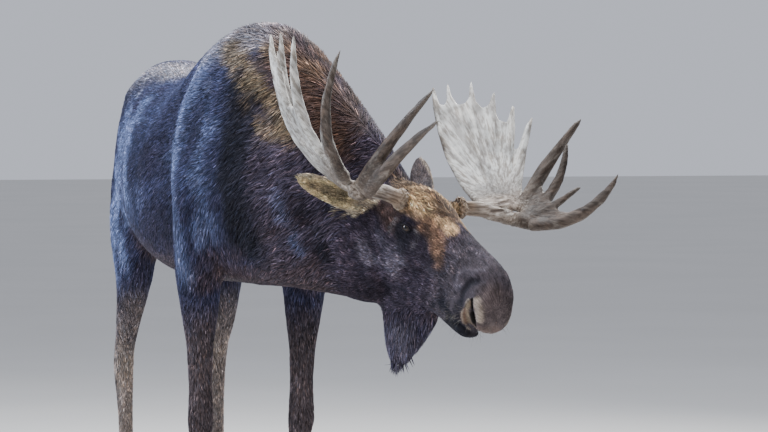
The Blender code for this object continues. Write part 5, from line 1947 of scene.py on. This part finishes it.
@dataclass
class Antler:
    """One antler over its three CAD nodes.

    Attributes:
        side: -1 for the animal's right, 1 for its left.
        burr: Forward, outward and up place of the burr.
        fork: The same for the fork, where beam, palm and brow meet.
        voxel: Cell of its surface.
        grow: How far its nodes are grown so that they overlap.
        swell: How far it is filled out again once smooth.
        groove: Depth of the grooves along it.
        spread: Width to which the bone's pattern fans out, far from the fork.
        core: Distance from the fork within which it fans out less.
        cross: Pace of the pattern across the beam.
        run: Pace of the pattern along the bone.
        pearl_rings: Place along the beam, radius, pearl size and count of each ring of pearls.
    """

    side: int
    burr: Place
    fork: Place
    voxel: float = 0.0034
    grow: float = 0.0008
    swell: float = 0.0014
    groove: float = 0.0013
    spread: float = 0.4
    core: float = 0.08
    cross: float = 2.6
    run: float = 0.12
    pearl_rings: tuple[tuple[float, float, float, int], ...] = ((0.004, 0.0335, 0.0036, 34),
        (-0.002, 0.0325, 0.0032, 30), (0.01, 0.031, 0.003, 28))

    def name(self) -> str:
        """Give the piece's name."""
        return "antler_left" if self.side > 0 else "antler_right"

    def nodes(self) -> list[str]:
        """Give the CAD nodes that the piece stands for."""
        return [f"{self.name()}_{part}" for part in ("beam", "palm", "brow")]

    def anchor(self, place: Place) -> Array:
        """Turn a place on the head, given outwards, into a world place."""
        return HEAD.to_world([place[0], self.side * place[1], place[2]])

    def build(self, finish: Material) -> Object:
        """Make the antler."""
        item = linked(self.name(), copy_of_nodes(self.nodes(), self.grow))
        remeshed(item, self.voxel)
        near_fork = np.linalg.norm(coordinates(item.data) - self.anchor(self.fork), axis=1)
        add_group(item, "join", eased(near_fork, 0.2, 0.09))
        add_smoothing(item, "", 14)
        add_smoothing(item, "join", 46)
        applied(item)
        largest_body(item)
        mesh = item.data
        points, faces = coordinates(mesh), corners_of(mesh)
        normals = normals_of(points, faces)
        grain, reach, on_beam = self._grain(points)
        ridges = lattice_noise(grain, 0.02, SEED + 21)
        fine = lattice_noise(grain, 0.011, SEED + 22)
        knobs = lattice_noise(points, 0.024, SEED + 23)
        depth = self.groove * (0.55 + 1.3 * on_beam) * eased(reach, 0.62, 0.4)
        swell = self.swell * eased(reach, 0.55, 0.3) + 0.003 * eased(reach, 0.16, 0.07)
        move = depth * (ridges + 0.8 * fine) + 0.0005 * knobs + swell
        points = points + normals * move[:, None]
        place_points(mesh, points)
        ridges = 0.6 * ridges + 0.7 * fine
        add_colours(mesh, "bone", self._colours(mesh, points, normals, reach, on_beam, ridges))
        add_numbers(mesh, "grain", grain)
        mesh.materials.append(finish)
        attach(item, BODY)
        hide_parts(*self.nodes())
        return item

    def _grain(self, points: Array) -> tuple[Array, Array, Array]:
        """Lay coordinates that change fast across the bone and slowly along it, away from the fork.

        Args:
            points: Places on the antler.

        Returns:
            The coordinates; distance from the fork; and how much is beam, 0 to 1.
        """
        fork, burr = self.anchor(self.fork), self.anchor(self.burr)
        away = points - fork
        reach = np.linalg.norm(away, axis=1)
        near, _ = distance_to_run(points, np.array([burr, fork]))
        on_beam = eased(near, 0.085, 0.045)
        spokes = away * (self.spread / np.hypot(reach, self.core))[:, None]
        spokes = spokes + (reach * self.run)[:, None] * np.array([0.6, 0.5, 0.62])
        axis = unit(burr - fork)
        along = (away @ axis)[:, None] * axis
        straight = (away - along) * self.cross + along * self.run
        return spokes + (straight - spokes) * on_beam[:, None], reach, on_beam

    def _colours(self, mesh: Mesh, points: Array, normals: Array, reach: Array, on_beam: Array,
            ridges: Array) -> Array:
        """Colour the bone: brown at the beam and the brow tines, grey on the palm, worn pale at the edges,
        paler on top as painted top light and darker underneath as painted shade.

        Args:
            mesh: The antler's mesh.
            points: Its points.
            normals: Their directions.
            reach: Their distances from the fork.
            on_beam: How much each is beam.
            ridges: The ridges' heights, from -1 to 1.

        Returns:
            A colour for each point.
        """
        places = [coordinates(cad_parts[node].data) for node in self.nodes()]
        owner = np.repeat(np.arange(len(places)), [len(found) for found in places])
        near = owner[nearest(np.vstack(places), points)]
        edges = edges_of(mesh)
        on_palm = spread(np.eye(3)[near], edges, 20)[:, 1]
        facing = unit(spread(normals, edges, 6))[:, 2]
        rim = eased(1.0 - (spread(normals, edges, 5) ** 2).sum(axis=1), 0.1, 0.45)
        # How much the bone faces up, which weighs the painted top light
        up = eased(facing, -0.4, 0.7)
        blotch = lattice_noise(points, 0.05, SEED + 24)
        brown = np.zeros(len(points))
        local = HEAD.to_head(points) * np.array([1.0, self.side, 1.0])
        for run in BROWN_RUNS[self.side]:
            gap, _ = distance_to_run(local, metres(run))
            brown = np.maximum(brown, eased(gap + 0.012 * blotch, 0.056, 0.032))
        # Pale wear on rims and ridges, partly painted highlight: rims that face up get more, as painted top
        # light
        pale = rim * (0.16 + 0.26 * up) + eased(ridges, 0.15, 0.7) * (0.34 + 0.3 * on_beam)
        from_burr = np.linalg.norm(points - self.anchor(self.burr), axis=1)
        paint = Paint.of(len(points), Tint.TINE)
        # Painted light: the palm and the brown are paler where the bone faces up, and the dark grime tone
        # darkens its undersides as painted shade
        for tint, share in ((Tint.PALM, on_palm * eased(reach, 0.07, 0.2)
                * np.clip(0.92 + 0.25 * blotch, 0, 1)), (Tint.PALM, up * on_palm * (0.3 + 0.2 * blotch)),
                (Tint.BEAM, on_beam * 0.9), (Tint.BONE_BROWN, brown * (1.0 - 0.7 * on_beam)
                * (0.98 - 0.12 * up)), (Tint.GRIME, eased(facing, -0.1, -0.75) * (0.7 - 0.5 * on_palm)),
                (Tint.GRIME, eased(ridges, -0.05, -0.6) * (0.46 + 0.34 * np.maximum(on_beam, brown))),
                (Tint.GRIME, rim * on_palm * eased(blotch, -0.2, 0.4) * 0.5),
                (Tint.WORN, pale * (1.0 - 0.7 * brown)), (Tint.WORN, eased(reach, 0.36, 0.6) * 0.12),
                (Tint.BURR, eased(from_burr, 0.08, 0.04) * 0.8)):
            paint.lay(tint, share)
        return paint.colours

    def pearls(self, finish: Material) -> Object:
        """Set rings of bone pearls on the burr."""
        chance = np.random.default_rng(SEED + self.side)
        start = self.anchor(self.burr)
        axis = unit(self.anchor(self.fork) - start)
        first = unit(np.cross(axis, np.array([0.0, 0.0, 1.0])))
        second = np.cross(axis, first)
        places, ways, sizes = [], [], []
        for along, radius, size, count in self.pearl_rings:
            turns = np.arange(count) * 2 * np.pi / count + chance.uniform(-0.09, 0.09, count)
            outward = circle(turns, first, second)
            far = (radius * chance.uniform(0.95, 1.02, count))[:, None]
            shift = (along + 0.003 + chance.normal(0, 0.0012, count))[:, None]
            places.append(start + axis * shift + outward * far)
            ways.append(outward)
            sizes.append(size * chance.uniform(0.55, 1.25, count))
        pearls = Bristles(self.name() + "_pearls", True, 0.004)
        ways = np.vstack(ways)
        return pearls.build(np.vstack(places), ways, np.concatenate(sizes), ways, finish, "antler_bone")


# Feet ---------------------------------------------------------------------------------------
@dataclass
class Foot:
    """The two toes and the two dewclaws of one foot.

    Attributes:
        end: "front" or "hind".
        side: "left" or "right".
        length: Length of a hoof.
        width: Its width.
        height: Height over which its wall leans in.
        heel: Share of the length that is behind the heel's line.
        around: Points round each of its rings.
        growth: Depth of its growth rings, as a share of its reach.
        growth_pace: How closely they follow each other.
        growth_from: Height above the ground at which they start.
        levels: Height, width and length of each of its rings, the last two as shares.
        claw_levels: Place along a dewclaw and radius of each of its rings.
        claw_squash: How flat a dewclaw is.
    """

    end: str
    side: str
    length: float = 0.142
    width: float = 0.053
    height: float = 0.08
    heel: float = 0.38
    around: int = 40
    growth: float = 0.006
    growth_pace: float = 900.0
    growth_from: float = 0.01
    levels: tuple[tuple[float, float, float], ...] = ((0.0, 0.9, 0.97), (0.0012, 0.935, 1.0),
        (0.004, 0.985, 1.022), (0.008, 1.0, 1.03), (0.016, 0.996, 1.02), (0.026, 0.978, 0.995),
        (0.04, 0.95, 0.96), (0.054, 0.922, 0.918), (0.066, 0.895, 0.872), (0.074, 0.884, 0.845),
        (0.0797, 0.85, 0.815))
    claw_levels: tuple[tuple[float, float], ...] = ((0.0, 0.0118), (0.2, 0.0128), (0.45, 0.013),
        (0.65, 0.0122), (0.82, 0.0098), (0.93, 0.007), (1.0, 0.0036))
    claw_squash: float = 0.86

    def build(self, finish: Material) -> Object:
        """Make the foot's horn as one piece."""
        parts, names = [], []
        for toe in ("outer", "inner"):
            name = f"{self.end}_{self.side}_{toe}"
            parts.append(self._toe(name + "_hoof"))
            parts.append(self._claw(name + "_dewclaw"))
            names += [name + "_hoof", name + "_dewclaw"]
        points, faces = joined(parts)
        mesh = triangle_mesh("hooves", points, faces, True)
        worn = eased(points[:, 2], 0.018, 0.001) * 0.9
        ahead = min(points[:, 1])
        worn = np.maximum(worn, eased(points[:, 1], ahead + 0.03, ahead) * eased(points[:, 2], 0.05, 0.01))
        add_numbers(mesh, "worn", worn)
        mesh.materials.append(finish)
        item = linked(f"{self.end}_{self.side}_hooves", mesh)
        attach(item, BODY)
        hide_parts(*names)
        return item

    def _toe(self, node: str) -> tuple[Array, Array]:
        """Make one toe where its CAD node stands."""
        low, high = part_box(node)
        outward = self._outward(node)
        inner = low.x if outward > 0 else high.x
        heel = high.y - self.length * self.heel * 1.03
        lengthways, sideways = np.cos(turns_of(self.around)), np.sin(turns_of(self.around))
        rings = []
        for height, wide, long in self.levels:
            slope = height / self.height
            reach = np.where(lengthways > 0, self.length * (0.62 - 0.2 * slope),
                self.length * (self.heel - 0.08 * slope))
            taper = 1.0 - 0.58 * np.maximum(0.0, lengthways) ** 2
            width = self.width * wide
            bulge = np.where(sideways < 0, (0.5 + 0.5 * sideways * (0.9 + 0.1 * taper)) * width,
                (sideways * 0.5 * taper + 0.5) * width)
            groove = 1.0 + self.growth * math.sin(height * self.growth_pace) * (height > self.growth_from)
            rings.append(np.column_stack([inner + outward * (bulge + 0.0006),
                heel - lengthways * reach * long * groove, np.full(self.around, height)]))
        points, faces = ring_mesh(rings, (True, True))
        return points, facing_out(points, faces)

    def _claw(self, node: str) -> tuple[Array, Array]:
        """Make one dewclaw where its CAD node is."""
        run = np.array([self._outward(node) * 0.01, 0.02, -0.042])
        axis = unit(run)
        across = unit(np.cross(axis, np.array([1.0, 0.0, 0.0])))
        ring = circle(turns_of(18), across * self.claw_squash, np.cross(axis, across))
        rings = [middle_of(node) - run / 2 + run * share + ring * radius for share,
            radius in self.claw_levels]
        points, faces = ring_mesh(rings, (True, True))
        return points, facing_out(points, faces)

    def _outward(self, node: str) -> int:
        """Say whether a toe's or dewclaw's outer side looks to the left, as 1 or -1."""
        return (1 if self.side == "left" else -1) * (1 if "outer" in node else -1)


# Studio -------------------------------------------------------------------------------------
@dataclass(frozen=True)
class Studio:
    """Camera, floor and lights.

    Attributes:
        turn: Degrees that the camera stands to the animal's right of straight ahead.
        distance: Its level distance from the forefeet.
        aside: How far it aims to the right of the forefeet.
        height: Height of the lens.
        lens: Focal length in millimetres on a 36 mm wide frame.
        dip: Degrees that it looks down.
        lights: Name, place, size, power and colour of each lamp.
    """

    turn: float = 15.5
    distance: float = 12.0
    aside: float = -0.448
    height: float = 1.6
    lens: float = 167.06
    dip: float = 1.848
    lights: tuple[tuple[str, Place, float, float, Colour], ...] = (("key", (-2.2, -4.8, 4.4), 2.4, 240.0,
        (1.0, 0.96, 0.9)), ("side", (-5.0, 0.8, 3.6), 2.6, 520.0, (0.78, 0.87, 1.0)),
        ("top", (0.2, -0.4, 5.2), 3.6, 420.0, (0.94, 0.97, 1.0)),
        ("back", (3.6, 1.6, 3.6), 2.2, 420.0, (1.0, 0.97, 0.92)))

    def build(self) -> None:
        """Set everything up."""
        self._camera()
        self._floor()
        self._lights()

    def _camera(self) -> None:
        """Place the camera."""
        turn, dip = math.radians(self.turn), math.radians(self.dip)
        level = np.array([math.sin(turn), math.cos(turn), 0.0])
        right = np.array([math.cos(turn), -math.sin(turn), 0.0])
        high = np.array([0.0, 0.0, 1.0])
        start = STANCE.to_world([0.0, -0.6, 0.0])
        place = start - level * self.distance - right * self.aside + high * self.height
        ahead = level * math.cos(dip) - high * math.sin(dip)
        up = high * math.cos(dip) + level * math.sin(dip)
        data = bpy.data.cameras.new("camera")
        data.lens, data.sensor_width, data.clip_end = self.lens, 36.0, 200.0
        camera = bpy.data.objects.new("camera", data)
        bpy.context.scene.collection.objects.link(camera)
        camera.matrix_world = Matrix([*np.column_stack([right, up, -ahead, place]).tolist(), [0, 0, 0, 1]])
        bpy.context.scene.camera = camera

    def _floor(self) -> None:
        """Lay the floor."""
        half = 60.0
        points = np.array([[-half, -half, 0.0], [half, -half, 0.0], [half, half, 0.0], [-half, half, 0.0]])
        mesh = triangle_mesh("floor", points, np.array([[0, 1, 2], [0, 2, 3]]), False)
        mesh.materials.append(FloorFinish().material())
        linked("floor", mesh)

    def _lights(self) -> None:
        """Hang soft lights and set a pale sky."""
        world = bpy.data.worlds.new("studio")
        world.use_nodes = True
        sky = world.node_tree.nodes["Background"]
        sky.inputs["Color"].default_value = (0.84, 0.88, 1.0, 1.0)
        sky.inputs["Strength"].default_value = 0.7
        bpy.context.scene.world = world
        for name, place, size, power, colour in self.lights:
            light = bpy.data.lights.new(name, "AREA")
            light.shape, light.size, light.energy, light.color = "DISK", size, power, colour
            item = bpy.data.objects.new(name, light)
            bpy.context.scene.collection.objects.link(item)
            spot = Vector(STANCE.to_world(place))
            aim = Vector(STANCE.to_world([0.0, -0.6, 1.1])) - spot
            item.matrix_world = Matrix.Translation(spot) @ aim.to_track_quat("-Z", "Y").to_matrix().to_4x4()


def grow_bristles(skin: Skin, eyes: list[Eye]) -> None:
    """Set whiskers on the muzzle and lashes on the lids.

    Args:
        skin: The finished skin.
        eyes: Both eyes.
    """
    chance = np.random.default_rng(SEED)
    head = HEAD.to_head(skin.points)
    even = np.column_stack([head[:, 0], np.abs(head[:, 1]), head[:, 2]])
    weight = (0.6 * blob(even, (0.47, 0.055, -0.125), (0.06, 0.03, 0.03))
        + 0.5 * blob(even, (0.6, 0.045, -0.115), (0.04, 0.04, 0.035))
        + 0.8 * blob(even, (0.48, 0.03, -0.18), (0.05, 0.03, 0.02)))
    weight *= (skin.weights[:, Zone.MUZZLE.value] > 0.3) * (1 - skin.bare)
    chosen = chance.choice(len(weight), 150, replace=False, p=weight / weight.sum())
    down = np.array([0.0, 0.0, -1.0])
    ways = skin.normals[chosen] + 0.55 * skin.lie[chosen] + chance.normal(0, 0.16, (len(chosen), 3))
    whiskers = Bristles("whiskers", False, 0.00038, 0.35)
    report(whiskers.build(skin.points[chosen] - skin.normals[chosen] * 0.001, ways,
        chance.uniform(0.014, 0.038, len(chosen)), np.tile(down, (len(chosen), 1)),
        BristleFinish("whisker", (0.02, 0.017, 0.016), (0.1, 0.085, 0.07)).material(), "hide"))
    places, ways, bows, sizes = [], [], [], []
    for eye in eyes:
        _, _, gaze, ahead, up = eye.frame_of()
        turns = np.radians(np.concatenate([np.linspace(12, 168, 46), np.linspace(205, 335, 16)]))
        turns = turns + chance.normal(0, 0.02, len(turns))
        upper = np.sin(turns) > 0
        places.append(eye.lid_edge(turns, 1.02, 1.075))
        ways.append(gaze + up * np.where(upper, 0.15, -0.9)[:, None] + ahead * (0.5 * np.cos(turns))[:, None]
            + chance.normal(0, 0.07, (len(turns), 3)))
        bows.append(np.where(upper[:, None], -up, up))
        sizes.append(np.where(upper, 0.0135, 0.006) * chance.uniform(0.8, 1.2, len(turns)))
    lashes = Bristles("eyelashes", False, 0.00042, 0.3)
    report(lashes.build(np.vstack(places), np.vstack(ways), np.concatenate(sizes), np.vstack(bows),
        BristleFinish("lash", (0.01, 0.009, 0.01), (0.03, 0.026, 0.024)).material(), "hide"))


# The whole animal ---------------------------------------------------------------------------
def report(item: Object) -> None:
    """Log a piece and its size."""
    item.data.calc_loop_triangles()
    LOG.info("%s: %d triangles", item.name, len(item.data.loop_triangles))


def main() -> None:
    """Build every piece, dress it and report it."""
    logging.basicConfig(level=logging.INFO, format="%(name)s %(message)s")
    Studio().build()
    skin = Skin()
    eyes = [Eye(side) for side in (-1, 1)]
    report(skin.dress(HideFinish(), eyes))
    for eye in eyes:
        report(eye.build(EyeFinish()))
    hair = CoatFinish().material()
    coat = Coat(skin, hair)
    for area in AREAS:
        report(coat.grow(area))
    bone = AntlerFinish().material()
    pearl = BristleFinish("burr_pearls", (0.1, 0.066, 0.042), (0.26, 0.195, 0.135)).material()
    for antler in (Antler(-1, (0.115, 0.122, 0.096), (0.08, 0.29, 0.106)),
            Antler(1, (0.115, 0.122, 0.096), (0.128, 0.292, 0.116))):
        report(antler.build(bone))
        report(antler.pearls(pearl))
    horn = HoofFinish().material()
    for end in ("front", "hind"):
        for side in ("left", "right"):
            report(Foot(end, side).build(horn))
    grow_bristles(skin, eyes)
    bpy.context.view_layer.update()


if __name__ == "__main__":
    main()
